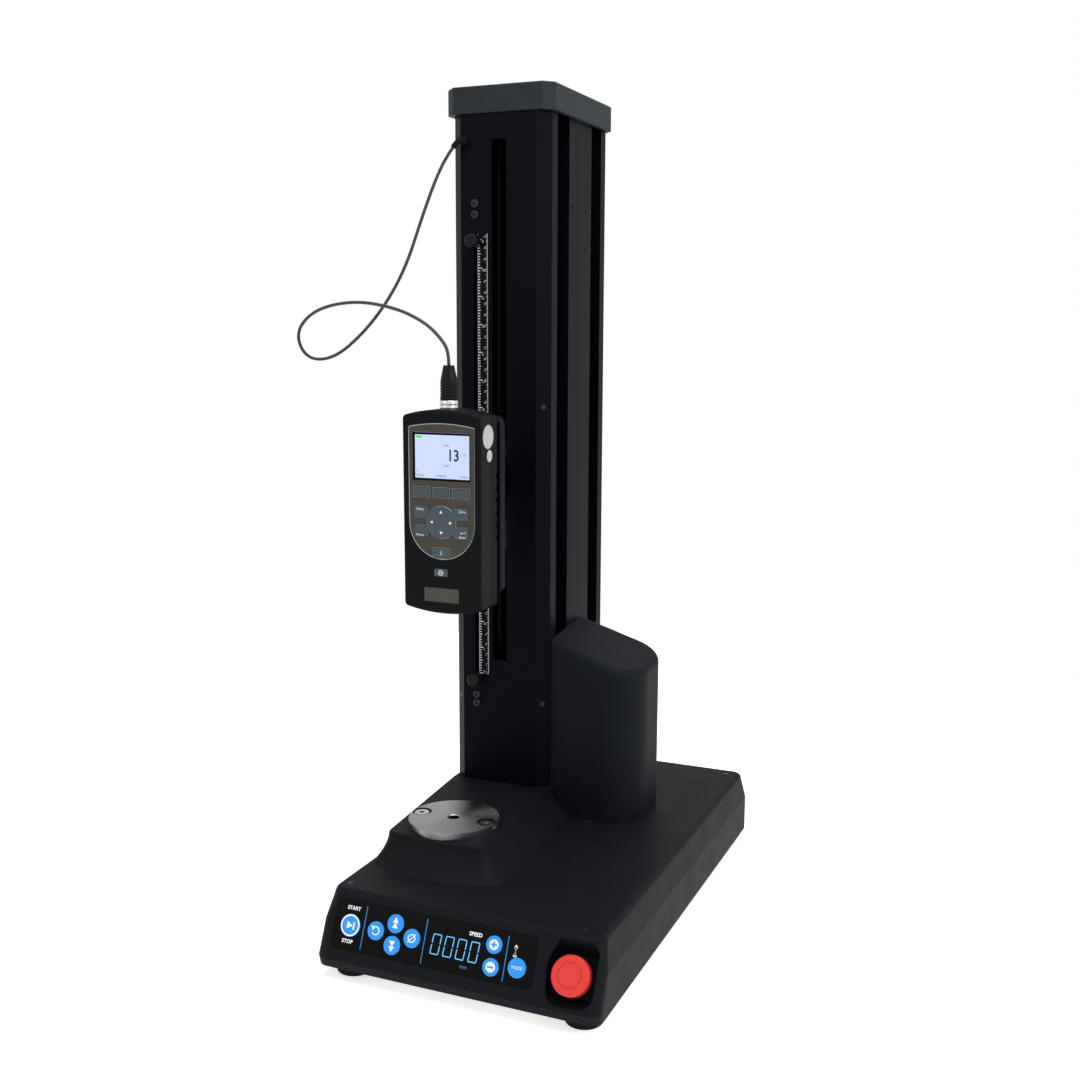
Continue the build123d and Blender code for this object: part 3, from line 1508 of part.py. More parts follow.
with BuildPart() as navigation_pad:
    with BuildSketch(label_face.offset(gauge_key_proud)):
        with Locations((pad_x, pad_z)):
            Circle(pad_radius)
    extrude(amount=-gauge_key_depth)
    fillet(navigation_pad.edges().group_by(Axis.Y)[0], gauge_key_edge)
navigation_pad.part.label = "navigation_pad"
export_step(navigation_pad.part, "parts/navigation_pad.step")

with BuildPart() as load_cell:
    cell_front = load_y - cell_size[1] / 2
    cell_rear = gauge_rear - gauge_wall
    with BuildSketch(Plane.XY.offset(cell_low_z)):
        with Locations((load_x, (cell_front + cell_rear) / 2)):
            Rectangle(cell_size[0], cell_rear - cell_front)
    extrude(amount=cell_size[2])
    with BuildSketch(Plane((load_x, load_y, spindle_low_z))):
        Circle(spindle_radius)
    extrude(amount=cell_low_z - spindle_low_z)
    with BuildSketch(Plane((load_x, load_y, spindle_low_z))):
        Circle(spindle_hole_radius)
    extrude(amount=spindle_hole_depth, mode=Mode.SUBTRACT)
load_cell.part.label = "load_cell"
export_step(load_cell.part, "parts/load_cell.step")

# Signal cord with its plug at the gauge and its gland at the column
with BuildPart() as gauge_plug:
    with BuildSketch(Plane((plug_x, plug_y, plug_low_z))):
        Circle(plug_radius)
    extrude(amount=plug_collar_z - plug_low_z)
    with BuildSketch(Plane((plug_x, plug_y, plug_collar_z))):
        Circle(plug_body_radius)
    extrude(amount=plug_body_z - plug_collar_z)
    with BuildSketch(Plane((plug_x, plug_y, plug_body_z))):
        Circle(plug_body_radius)
    with BuildSketch(Plane((plug_x, plug_y, plug_tip_z))):
        Circle(plug_tip_radius)
    loft()
gauge_plug.part.label = "gauge_plug"
export_step(gauge_plug.part, "parts/gauge_plug.step")

cord_points = [Vector(*point) for point in cord_route]
cord_start = Plane(origin=cord_points[0], z_dir=cord_points[1] - cord_points[0])
boot_root = Vector(gland_x, column_front - gland_length, gland_z)
with BuildPart() as cable_grommet:
    with BuildSketch(front_face):
        with Locations((gland_x, gland_z)):
            Circle(gland_radius)
    extrude(amount=gland_length)
    with BuildSketch(front_face):
        with Locations((gland_x, gland_z)):
            Circle(gland_shank_radius)
    extrude(amount=-front_cover_thick - lip_thick)
    with BuildLine() as boot_path:
        Spline(boot_root, cord_points[0], tangents=[(0, -1, 0), cord_start.z_dir])
    with BuildSketch(Plane(origin=boot_root, z_dir=(0, -1, 0))):
        Circle(boot_radius)
    sweep(path=boot_path.wires()[0])
cable_grommet.part.label = "cable_grommet"
export_step(cable_grommet.part, "parts/cable_grommet.step")

cord_runs = [after - before for before, after in zip(cord_points, cord_points[1:])]
cord_radii = []
for before, after in zip(cord_runs, cord_runs[1:]):
    half_turn = radians(before.get_angle(after)) / 2
    cord_radii.append(0.45 * min(before.length, after.length) / tan(half_turn))
with BuildPart() as signal_cord:
    with BuildLine() as cord_path:
        FilletPolyline(*cord_points, radius=cord_radii)
    with BuildSketch(cord_start):
        Circle(cord_radius)
    sweep(path=cord_path.wires()[0])
signal_cord.part.label = "signal_cord"
export_step(signal_cord.part, "parts/signal_cord.step")
cord_length = cord_path.wires()[0].length
cord_section = pi * cord_radius**2
print("cord radii", [round(radius, 1) for radius in cord_radii])
print("cord length", round(cord_length, 1))
print("cord volume over length times section", round(signal_cord.part.volume / cord_length / cord_section, 4))
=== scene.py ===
import math

import bmesh
import bpy
from mathutils import Matrix, Vector


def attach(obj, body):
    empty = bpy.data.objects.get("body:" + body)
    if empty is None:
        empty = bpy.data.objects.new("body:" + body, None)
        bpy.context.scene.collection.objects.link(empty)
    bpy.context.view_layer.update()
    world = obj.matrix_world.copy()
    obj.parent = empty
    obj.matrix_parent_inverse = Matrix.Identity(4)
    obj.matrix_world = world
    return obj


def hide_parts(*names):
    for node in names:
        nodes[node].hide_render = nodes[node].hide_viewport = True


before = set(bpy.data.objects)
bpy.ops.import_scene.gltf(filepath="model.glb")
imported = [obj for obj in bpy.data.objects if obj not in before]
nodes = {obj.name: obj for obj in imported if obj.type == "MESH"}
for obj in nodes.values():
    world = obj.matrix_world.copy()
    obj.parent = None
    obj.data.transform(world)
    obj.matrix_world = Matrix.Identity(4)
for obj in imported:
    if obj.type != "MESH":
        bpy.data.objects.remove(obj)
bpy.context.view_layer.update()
scene = bpy.context.scene

millimetre = 0.001


def linear(code):
    """Linear colour of an sRGB hex value."""
    parts = [int(code[i:i + 2], 16) / 255 for i in (0, 2, 4)]
    return [*(part / 12.92 if part <= 0.04045 else ((part + 0.055) / 1.055) ** 2.4 for part in parts), 1.0]


def add(tree, kind, values=None, **settings):
    """Adds a node: settings are its properties, values its sockets, each a value or a socket to link."""
    made = tree.nodes.new(kind)
    for name, value in settings.items():
        setattr(made, name, value)
    for name, value in (values or {}).items():
        if isinstance(value, bpy.types.NodeSocket):
            tree.links.new(value, made.inputs[name])
        else:
            made.inputs[name].default_value = value
    return made


# Camera where the photograph was taken from, in metres and degrees
camera_place = (0.4368, -1.0556, 0.5278)
yaw = math.radians(23.36)
pitch = math.radians(9.21)
roll = math.radians(0.19)
ahead = Vector((-math.sin(yaw), math.cos(yaw), 0))
right = Vector((math.cos(yaw), math.sin(yaw), 0))
up = ahead * math.sin(pitch) + Vector((0, 0, math.cos(pitch)))
camera_x = right * math.cos(roll) + up * math.sin(roll)
camera_y = up * math.cos(roll) - right * math.sin(roll)
camera_turn = Matrix((camera_x, camera_y, camera_x.cross(camera_y))).transposed().to_4x4()
camera_data = bpy.data.cameras.new("camera")
camera_data.lens = 42.78
camera_data.sensor_width = 36
camera_data.clip_start = 0.02
camera_data.clip_end = 30
camera = bpy.data.objects.new("camera", camera_data)
scene.collection.objects.link(camera)
camera.matrix_world = Matrix.Translation(camera_place) @ camera_turn
scene.camera = camera

# Finishes
roughness_drift = 0.15


def finish(name, colour, second, rough, spec=0.2, metal=0.0, patch=25.0, grain=1.0, depth=0.0, glow=0.0,
           stretch=(1, 1, 1)):
    """A material that drifts between two colours in patches, with a fine grain if it has a depth.

    The patches, the grain and its depth are in mm. A small stretch draws the pattern out along its axis.
    """
    made = bpy.data.materials.new(name)
    made.use_nodes = True
    tree = made.node_tree
    shader = tree.nodes["Principled BSDF"]
    shader.inputs["Metallic"].default_value = metal
    shader.inputs["Specular IOR Level"].default_value = spec
    place = add(tree, "ShaderNodeTexCoord").outputs["Object"]
    drawn_out = add(tree, "ShaderNodeMapping", {"Vector": place, "Scale": stretch}).outputs["Vector"]
    patches = add(tree, "ShaderNodeTexNoise", {
        "Vector": drawn_out, "Scale": 1 / (patch * millimetre), "Detail": 4.0,
    }).outputs["Fac"]
    colours = add(tree, "ShaderNodeMixRGB", {
        "Fac": patches, "Color1": linear(colour), "Color2": linear(second),
    }).outputs["Color"]
    tree.links.new(colours, shader.inputs["Base Color"])
    worn = add(tree, "ShaderNodeMapRange", {
        "Value": patches,
        "To Min": rough * (1 - roughness_drift),
        "To Max": min(1.0, rough * (1 + roughness_drift)),
    }).outputs["Result"]
    tree.links.new(worn, shader.inputs["Roughness"])
    if depth:
        grains = add(tree, "ShaderNodeTexNoise", {
            "Vector": drawn_out, "Scale": 1 / (grain * millimetre), "Detail": 2.0,
        }).outputs["Fac"]
        bump = add(tree, "ShaderNodeBump", {"Height": grains, "Distance": depth * millimetre})
        tree.links.new(bump.outputs["Normal"], shader.inputs["Normal"])
    if glow:
        tree.links.new(colours, shader.inputs["Emission Color"])
        shader.inputs["Emission Strength"].default_value = glow
    return made


# The low specular levels of the blacks match the photograph, where they reflect little light
finishes = {
    # Spark-textured housings: a fine dry grain that breaks up the highlight
    "textured_casting": finish(
        "textured_black_casting", "090a0e", "101116", rough=0.58, spec=0.075, grain=0.9, depth=0.06),
    "textured_moulding": finish(
        "textured_black_shroud", "0c0f13", "14181d", rough=0.6, spec=0.07, grain=0.9, depth=0.05),
    "grey_moulding": finish(
        "charcoal_cap_moulding", "1d2226", "2e3338", rough=0.55, spec=0.1, grain=1.0, depth=0.04),
    # Black anodising: a blue-black satin with faint marks of the extrusion along the column
    "black_anodised": finish(
        "black_anodised_aluminium", "03050b", "05080f", rough=0.42, spec=0.035, grain=0.7, depth=0.006,
        stretch=(1, 1, 0.04)),
    # Zinc plating: a bright grey with a slightly yellow mottle
    "zinc_plate": finish(
        "zinc_plated_steel", "8b8d8c", "a3a49d", rough=0.38, spec=0.5, metal=1.0, patch=6),
    # Bare steel can of a motor: a dull even grey
    "motor_steel": finish(
        "motor_case_steel", "5f6163", "6b6d70", rough=0.4, spec=0.5, metal=1.0, patch=9),
    # Rubber: matt black that takes almost no highlight
    "black_rubber": finish(
        "black_rubber", "0a0a0b", "151516", rough=0.75, spec=0.1, grain=0.5, depth=0.02),
    # Black oxide on screws: a dark skin that still shines like metal
    "black_screws": finish(
        "black_oxide_screws", "17181a", "202224", rough=0.42, spec=0.4, metal=0.6, patch=3),
    # Printed film over the panel: the deepest black on the machine, smoother than the housing round it
    "overlay_film": finish(
        "panel_overlay_film", "010101", "020203", rough=0.3, spec=0.06, grain=0.4, depth=0.002),
    # Solder resist on a board: a dark green
    "circuit_board": finish("green_circuit_board", "1d4a2c", "173d25", rough=0.5, spec=0.3, patch=4),
    # Plastic of the small mouldings, such as switches, stops and plug: black with a soft highlight
    "black_moulding": finish(
        "black_moulding", "060709", "141619", rough=0.4, spec=0.1, grain=0.6, depth=0.01),
    # Ground steel: bright, with tight highlights
    "bright_steel": finish("ground_steel", "a9abad", "b9bbbd", rough=0.26, spec=0.5, metal=1.0, patch=5),
    # Machined aluminium: a soft light grey with faint bands from the cutter
    "plain_aluminium": finish(
        "machined_aluminium", "a4a7aa", "b2b4b6", rough=0.36, spec=0.5, metal=1.0, patch=8,
        stretch=(1, 1, 4)),
    # Sintered bronze: brown-gold and finely speckled
    "bronze": finish("sintered_bronze", "8f6a3a", "a37c48", rough=0.42, spec=0.5, metal=1.0, patch=2),
    # Black ground of the ruler's print: flat, so the marks stand out
    "ruler_face": finish("ruler_black_print", "020305", "040507", rough=0.4, spec=0.06, patch=8),
    # Moulded button head: an even signal red with a soft sheen
    "red_moulding": finish(
        "red_button_moulding", "c6281f", "ce332a", rough=0.38, spec=0.3, grain=0.5, depth=0.006),
    # Soft-touch moulding of the gauge: black and nearly without a highlight
    "gauge_moulding": finish(
        "gauge_soft_black_moulding", "080a0d", "0c1013", rough=0.55, spec=0.035, grain=0.7, depth=0.03),
    # Lit display behind glass: a pale blue that shines by itself
    "display_glass": finish(
        "display_glass", "adb9dc", "b4c0e2", rough=0.15, spec=0.1, patch=60, glow=0.42),
    # Printed key film: a clear even blue
    "blue_key": finish("blue_key_print", "1f86dc", "2a8de0", rough=0.38, spec=0.25, patch=6),
    # Moulded keys of the gauge: a satin teal grey
    "teal_key": finish("teal_grey_keys", "37444a", "3e4b52", rough=0.42, spec=0.3, grain=0.6, depth=0.01),
}

# Printed inks and the dark figures of the display: flat and dry on their ground
white_ink = finish("white_ink", "e8ecef", "dfe3e6", rough=0.5, patch=3)
grey_ink = finish("ruler_ink", "bfc4ca", "cdd2d7", rough=0.5, patch=3)
blue_ink = finish("blue_ink", "2b77bd", "327fc4", rough=0.45, patch=5)
dark_ink = finish("lcd_ink", "20242f", "262a36", rough=0.4, patch=3)
soft_ink = finish("lcd_faint_ink", "4a5470", "525c78", rough=0.4, spec=0.1, patch=3)
# Lit digits and the battery's bar: they shine a little by themselves
digit_light = finish("display_digit_light", "4fa3d8", "58abdf", rough=0.4, patch=4, glow=0.6)
green_ink = finish("lcd_battery_green", "38c52c", "45cf38", rough=0.4, patch=3, glow=0.3)
# Metal rim round the label and its keys: a thin bright line
label_rim = finish("label_rim_metal", "9a9a92", "a8a8a0", rough=0.3, spec=0.5, metal=0.8, patch=6)
# Brushed metal plate: a warm grey with fine marks across it
bare_metal = finish(
    "bare_metal_plate", "3c3c37", "4c4c46", rough=0.36, spec=0.5, metal=0.85, patch=7, grain=0.3,
    depth=0.004, stretch=(0.1, 1, 4))
# Nickel and gold plating on the plug: smooth and bright
collar_metal = finish("nickel_collar", "c4c3bd", "d2d1cb", rough=0.22, spec=0.5, metal=1.0, patch=3)
gold = finish("gold_plated_ring", "c39a4a", "cfa75a", rough=0.28, spec=0.5, metal=1.0, patch=3)
# Blank paper sticker: a dull off-white
sticker = finish("blank_paper_sticker", "a6a8a3", "b2b4af", rough=0.6, spec=0.1, grain=0.4, depth=0.004)
# Steel of the rods and the screw, coloured near black as painted shade, so the slot stays black from
# outside
slot_shade_steel = finish("steel_painted_slot_shade", "0c0d0e", "121314", rough=0.4, spec=0.2, metal=0.5, patch=5)
# Cord jacket: a grey plastic with a soft highlight along it
cord_jacket = finish("cord_grey_jacket", "2e2f32", "37383c", rough=0.45, spec=0.3, patch=10)
# Studio floor: white paper that gives a little light of its own, so it stays white far from the lamps
floor_paper = finish("pale_floor", "fbfbfb", "fafafa", rough=0.95, spec=0.0, patch=400, glow=0.6)

# Extent of the label's face on each axis, as middle and reach in metres
label_extent = {"Y": (-0.109, 0.00012), "X": (-0.0618, 0.0316), "Z": (0.3795, 0.0742)}
# Marks to the metre in the label's film, which makes them 17 mm long across it and 0.45 mm high
label_marks = (60, 300, 2200)


def moulding_with_label():
    """The gauge's moulding, and on the label's face a brushed metal film: a warm grey with fine marks."""
    made = finishes["gauge_moulding"].copy()
    made.name = "gauge_moulding_with_label"
    tree = made.node_tree
    shader = tree.nodes["Principled BSDF"]
    place = add(tree, "ShaderNodeTexCoord").outputs["Object"]
    axes = add(tree, "ShaderNodeSeparateXYZ", {"Vector": place}).outputs
    on_label = 1.0
    for axis, (middle, reach) in label_extent.items():
        inside = add(tree, "ShaderNodeMath", {0: axes[axis], 1: middle, 2: reach}, operation="COMPARE")
        on_label = add(
            tree, "ShaderNodeMath", {0: on_label, 1: inside.outputs[0]}, operation="MULTIPLY").outputs[0]
    drawn_out = add(tree, "ShaderNodeMapping", {"Vector": place, "Scale": label_marks}).outputs["Vector"]
    brushed = add(tree, "ShaderNodeTexNoise", {"Vector": drawn_out, "Scale": 1.0, "Detail": 3.0})
    film = add(tree, "ShaderNodeMixRGB", {
        "Fac": brushed.outputs["Fac"], "Color1": linear("3e3b37"), "Color2": linear("4b4843"),
    }).outputs["Color"]
    moulding = shader.inputs["Base Color"].links[0].from_socket
    colour = add(tree, "ShaderNodeMixRGB", {"Fac": on_label, "Color1": moulding, "Color2": film})
    tree.links.new(colour.outputs["Color"], shader.inputs["Base Color"])
    tree.links.new(on_label, shader.inputs["Metallic"])
    shader.inputs["Specular IOR Level"].default_value = 0.06
    return made


def turned_plate():
    """Steel faced on a lathe: its turned grain spreads the highlights into spokes."""
    made = finish("turned_steel_plate", "7f8182", "8d8f90", rough=0.3, spec=0.5, metal=1.0, patch=14)
    tree = made.node_tree
    shader = tree.nodes["Principled BSDF"]
    shader.inputs["Anisotropic"].default_value = 0.85
    turning = add(tree, "ShaderNodeTangent", direction_type="RADIAL", axis="Z")
    tree.links.new(turning.outputs["Tangent"], shader.inputs["Tangent"])
    return made


def dress(material, names):
    """Gives CAD nodes, named in one line, their finish."""
    for node_name in names.split():
        for slot in nodes[node_name].material_slots:
            slot.material = material


node_finishes = {
    "textured_casting": "base_cover",
    "textured_moulding": "motor_shroud",
    "grey_moulding": "top_cap",
    "black_anodised": "column_extrusion column_front_cover crosshead_arm gauge_mount_plate",
    "zinc_plate": "base_plate motor_bracket",
    "motor_steel": "motor",
    "black_rubber": "rubber_feet timing_belt cable_grommet signal_cord",
    "black_screws": "housing_screws",
    "overlay_film": "control_overlay",
    "circuit_board": "control_electronics",
    "black_moulding": "stop_switch_body power_inlet data_port stop_guide stop_plunger power_rocker"
                      " upper_limit_stop lower_limit_stop gauge_plug",
    "bright_steel": "specimen_plate_screws load_cell",
    "plain_aluminium": "bearing_blocks drive_pulley driven_pulley carriage",
    "bronze": "lead_nut guide_bushes",
    "ruler_face": "ruler",
    "red_moulding": "stop_button",
    "gauge_moulding": "gauge_rear_shell",
    "display_glass": "gauge_display",
    "blue_key": "start_stop_key return_key raise_key zero_key lower_key faster_key slower_key mode_key",
    "teal_key": "left_soft_key middle_soft_key right_soft_key upper_left_key upper_right_key lower_left_key"
                " lower_right_key info_key gauge_power_key navigation_pad",
}
for finish_name, node_names in node_finishes.items():
    dress(finishes[finish_name], node_names)
dress(moulding_with_label(), "gauge_front_shell")
dress(turned_plate(), "specimen_plate")
# The rods and the screw take the near-black steel: painted shade that keeps the slot black
dress(slot_shade_steel, "guide_rods lead_screw")

# Print and small parts, drawn in mm
ink_lift = 0.03
disc_sides = 40
ring_steps = 48
rightward = (1, 0, 0)
upward = (0, 0, 1)
rearward = (0, 1, 0)


def frame_at(origin, across, along):
    """Placement on a face, from mm to metres: two axes lie in the face, the third is its normal."""
    across = Vector(across)
    along = Vector(along)
    turn = Matrix((across, along, across.cross(along))).transposed().to_4x4()
    return Matrix.Scale(millimetre, 4) @ Matrix.Translation(origin) @ turn


def front(x, y, z):
    """Placement on a face that looks forward."""
    return frame_at((x, y, z), rightward, upward)


def mesh_of(data):
    """Mesh of a curve or a text."""
    holder = bpy.data.objects.new("holder", data)
    scene.collection.objects.link(holder)
    mesh = bpy.data.meshes.new_from_object(holder)
    bpy.data.objects.remove(holder)
    return mesh


def mesh_from(shape, name):
    """Mesh of a bmesh, which is freed."""
    mesh = bpy.data.meshes.new(name)
    shape.to_mesh(mesh)
    shape.free()
    return mesh


def words(text, size, x=0.0, y=0.0, wide=1.0, bold=0.0):
    """Flat text about a point: wide scales its width and bold thickens its strokes."""
    data = bpy.data.curves.new("words", "FONT")
    data.body = text
    data.size = size
    data.align_x = "CENTER"
    data.align_y = "CENTER"
    data.resolution_u = 2
    data.offset = bold
    mesh = mesh_of(data)
    mesh.transform(Matrix.Translation((x, y, ink_lift)) @ Matrix.Diagonal((wide, 1, 1, 1)))
    return mesh


def stroke(points, width, closed=False, thick=2 * ink_lift):
    """A flattened line through points."""
    data = bpy.data.curves.new("stroke", "CURVE")
    data.dimensions = "3D"
    data.bevel_depth = width / 2
    data.bevel_resolution = 1
    data.use_fill_caps = True
    line = data.splines.new("POLY")
    line.points.add(len(points) - 1)
    for point, (x, y) in zip(line.points, points):
        point.co = (x, y, 0, 1)
    line.use_cyclic_u = closed
    mesh = mesh_of(data)
    mesh.transform(Matrix.Diagonal((1, 1, thick / width, 1)))
    return mesh


def arc(radius, start=0.0, end=360.0, x=0.0, y=0.0, steps=32):
    """Points of an arc, in degrees. A full circle leaves out the point that would close it."""
    count = steps if end - start >= 360 else steps + 1
    turns = [math.radians(start + (end - start) * i / steps) for i in range(count)]
    return [(x + radius * math.cos(turn), y + radius * math.sin(turn)) for turn in turns]


def polygon(radius, x, y, sides, turn):
    """A filled regular polygon that faces outwards."""
    shape = bmesh.new()
    bmesh.ops.create_circle(
        shape, cap_ends=True, radius=radius, segments=sides,
        matrix=Matrix.Translation((x, y, ink_lift)) @ Matrix.Rotation(math.radians(turn), 4, "Z"))
    bmesh.ops.recalc_face_normals(shape, faces=shape.faces)
    for face in shape.faces:
        if face.normal.z < 0:
            face.normal_flip()
    return mesh_from(shape, "polygon")


def disc(radius, x=0.0, y=0.0):
    """A filled disc."""
    return polygon(radius, x, y, disc_sides, 0.0)


def triangle(radius, x=0.0, y=0.0, turn=0.0):
    """A filled triangle inside a circle, its tip up at a turn of 0 degrees."""
    return polygon(radius, x, y, 3, turn)


def bars(places):
    """Filled rectangles, each given by its centre and size."""
    shape = bmesh.new()
    for x, y, width, height in places:
        bmesh.ops.create_grid(
            shape, x_segments=1, y_segments=1, size=0.5,
            matrix=Matrix.Translation((x, y, ink_lift)) @ Matrix.Diagonal((width, height, 1, 1)))
    return mesh_from(shape, "bars")


def turned(profile):
    """A shell spun about its own axis through (radius, height) points."""
    shape = bmesh.new()
    ends = [shape.verts.new((radius, 0, height)) for radius, height in profile]
    edges = [shape.edges.new(pair) for pair in zip(ends, ends[1:])]
    bmesh.ops.spin(
        shape, geom=ends + edges, cent=(0, 0, 0), axis=(0, 0, 1), angle=2 * math.pi, steps=ring_steps,
        use_merge=True)
    bmesh.ops.recalc_face_normals(shape, faces=shape.faces)
    return mesh_from(shape, "turned")


def piece(name, meshes, place, body, material, smooth=False):
    """One piece of several shapes, with its place in its mesh."""
    shape = bmesh.new()
    for mesh in meshes:
        shape.from_mesh(mesh)
        bpy.data.meshes.remove(mesh)
    shape.transform(place)
    for face in shape.faces:
        face.smooth = smooth
    whole = mesh_from(shape, name)
    whole.materials.clear()
    whole.materials.append(material)
    made = bpy.data.objects.new(name, whole)
    scene.collection.objects.link(made)
    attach(made, body)


# Control panel
panel_lean = math.radians(24)
panel_top_y = -198.0
panel_top_z = 72.1
film_face = 0.2
window_face = 0.12
key_face = 0.8
panel_key_places = {
    "start_stop_key": (-96.8, 27.6),
    "return_key": (-72.8, 27.7),
    "raise_key": (-56.1, 19.2),
    "zero_key": (-39.5, 27.7),
    "lower_key": (-56.1, 36.2),
    "faster_key": (32.1, 19.4),
    "slower_key": (32.1, 36.4),
    "mode_key": (54.0, 32.9),
}
panel_word_size = 4.2
panel_word_bold = 0.12
digit_wide = 7.0
digit_high = 15.2
digit_pitch = 11.2
digit_lean = 0.06
first_digit_x = -17.7
digit_y = -28.2
segment_gap = 0.55
segment_width = 1.0


def panel(x, down, height):
    """Placement on the sloping panel: a distance down its slope and a height above it."""
    y = panel_top_y - down * math.sin(panel_lean) - height * math.cos(panel_lean)
    z = panel_top_z - down * math.cos(panel_lean) + height * math.sin(panel_lean)
    return frame_at((x, y, z), rightward, (0, math.sin(panel_lean), math.cos(panel_lean)))


def on_panel(name, meshes, material, x=0.0, down=0.0, height=film_face):
    """Print on the panel's film."""
    piece(name, meshes, panel(x, down, height), "frame", material)


def on_panel_key(name, key, meshes, material=white_ink, lift=0.0):
    """Print that moves with a key of the panel."""
    x, down = panel_key_places[key]
    piece(name, meshes, panel(x, down, key_face + lift), key, material)


def lit_zero(x):
    """The six lit segments of a zero, which leans a little."""
    side = digit_wide / 2
    top = digit_high / 2
    segments = [((-side, top), (side, top)), ((-side, -top), (side, -top))]
    for start, end in ((segment_gap, top - segment_gap), (-segment_gap, segment_gap - top)):
        segments += [((-side, start), (-side, end)), ((side, start), (side, end))]
    return [
        stroke([
            (x + across + digit_lean * rise, digit_y + rise) for across, rise in segment
        ], segment_width)
        for segment in segments
    ]


on_panel("panel_words", [
    words("START", panel_word_size, -96.1, -13.9, bold=panel_word_bold),
    words("STOP", panel_word_size, -97.1, -40.4, bold=panel_word_bold),
    words("SPEED", panel_word_size, 15.3, -14.8, bold=panel_word_bold),
], white_ink)
on_panel("panel_unit_word", [words("mm", panel_word_size, 9.0, -40.7)], blue_ink)
on_panel("panel_dividers", [bars([(x, -27.7, 0.7, 34.5) for x in (-84.1, -28.3, 43.4)])], blue_ink)
on_panel("panel_display_window", [bars([(-1.2, -28.2, 44.4, 19.4)])], finishes["overlay_film"],
         height=window_face)
digits = []
for i in range(4):
    digits += lit_zero(first_digit_x + digit_pitch * i)
on_panel("panel_digits", digits, digit_light)
on_panel("panel_mode_glyph", [
    stroke([(-1.6, 3.2), (0, 1.2), (1.6, 3.2)], 0.5),
    stroke([(0, 1.2), (0, -1.4)], 0.5),
    disc(1.1, 0, 3.9),
    stroke([(-1.8, -3.2), (0, -1.4), (1.8, -3.2)], 0.5),
    bars([(0, -3.6, 3.0, 1.2)]),
], grey_ink, x=50.7, down=21.2)

# Legends of the panel keys
on_panel_key("start_stop_legend", "start_stop_key", [
    stroke(arc(8.0), 1.5, closed=True),
    triangle(3.4, -1.2, 0, turn=-90),
    bars([(3.4, 0, 1.5, 6.0)]),
])
on_panel_key("return_legend", "return_key", [
    stroke(arc(3.1, -150, 130), 1.2),
    triangle(2.3, -2.6, 2.2, turn=60),
])
on_panel_key("raise_legend", "raise_key", [triangle(3.0, 0, 2.2), triangle(3.0, 0, -2.0)])
on_panel_key("zero_legend", "zero_key", [
    stroke(arc(3.0), 1.2, closed=True),
    stroke([(-3.2, -3.6), (3.2, 3.6)], 1.0),
])
on_panel_key("lower_legend", "lower_key", [
    triangle(3.0, 0, 2.0, turn=180),
    triangle(3.0, 0, -2.2, turn=180),
])
sign_long = 5.4
sign_wide = 1.5
sign_arm = (sign_long - sign_wide) / 2
arm_centre = 1.7
on_panel_key("faster_legend", "faster_key", [disc(4.0)])
on_panel_key("faster_plus", "faster_key", [bars([
    (0, 0, sign_long, sign_wide),
    (0, arm_centre, sign_wide, sign_arm),
    (0, -arm_centre, sign_wide, sign_arm),
])], finishes["blue_key"], lift=ink_lift)
on_panel_key("slower_legend", "slower_key", [disc(4.0)])
on_panel_key("slower_minus", "slower_key", [bars([
    (0, 0, sign_long, sign_wide),
])], finishes["blue_key"], lift=ink_lift)
on_panel_key("mode_legend", "mode_key", [words("MODE", 3.3)])

# Ruler: tenths of an inch at the left edge and millimetres at the right, both rising from its zero
ruler_print_y = 20.88
ruler_zero = 204.2
ruler_left = -91.0
ruler_right = -81.0
ruler_run = 411
ruler_middle = 206
inch = 25.4
inch_tenths = 161
inch_mark_thick = 0.85
millimetre_mark_thick = 0.3
figure_width = 0.75


def mark_length(n, long, middling, short):
    """Marks are longest at each tenth and middling at each fifth."""
    return long if n % 10 == 0 else middling if n % 5 == 0 else short


def ruler_marks():
    """Marks of both scales, and a fine line along each edge."""
    marks = []
    for n in range(inch_tenths):
        length = mark_length(n, 4.2, 3.0, 2.3)
        marks.append((ruler_left + length / 2, ruler_zero + n * inch / 10, length, inch_mark_thick))
    for n in range(ruler_run):
        length = mark_length(n, 2.4, 1.6, 1.0)
        marks.append((ruler_right - length / 2, ruler_zero + n, length, millimetre_mark_thick))
    marks.append((ruler_left + 0.1, ruler_zero + ruler_middle, 0.3, ruler_run))
    marks.append((ruler_right - 0.2, ruler_zero + ruler_middle, 0.45, ruler_run))
    return marks


def ruler_figures(count, step, size, x, drop):
    """Figures of one scale, each just below its mark and the first one above it."""
    return [
        words(str(n), size, x, ruler_zero + n * step + (drop if n == 0 else -drop), wide=figure_width)
        for n in range(count)
    ]


inch_figures = ruler_figures(17, inch, 3.2, ruler_left + 5.1, 1.9)
centimetre_figures = ruler_figures(42, 10, 2.8, ruler_right - 2.9, 1.4)
ruler_place = front(0, ruler_print_y, 0)
piece("ruler_ticks", [bars(ruler_marks())], ruler_place, "frame", grey_ink)
piece("ruler_figures", inch_figures + centimetre_figures, ruler_place, "frame", grey_ink)

# Gauge, its front drawn at the shared frame's own x and z
label_face_y = -109.0
gauge_key_face_y = -109.8
shell_print_y = -109.62
label_x = -61.8
label_half = 31.3
label_side_top = 449.6
label_arch = 3.2
arch_steps = 24
label_foot_z = 368.8
rim_width = 0.8
key_rim_width = 0.45
rim_thick = 0.3
key_rim_gap = 0.7
pad_x = -62.4
pad_z = 369.4
pad_rim_radius = 13.7
pad_arrow_reach = 8.6


def on_gauge(name, meshes, place, material):
    """Print or trim that moves with the gauge."""
    piece(name, meshes, place, "crosshead", material)


def on_gauge_key(name, key, meshes):
    """Print that moves with a key of the gauge."""
    piece(name, meshes, front(0, gauge_key_face_y, 0), key, white_ink)


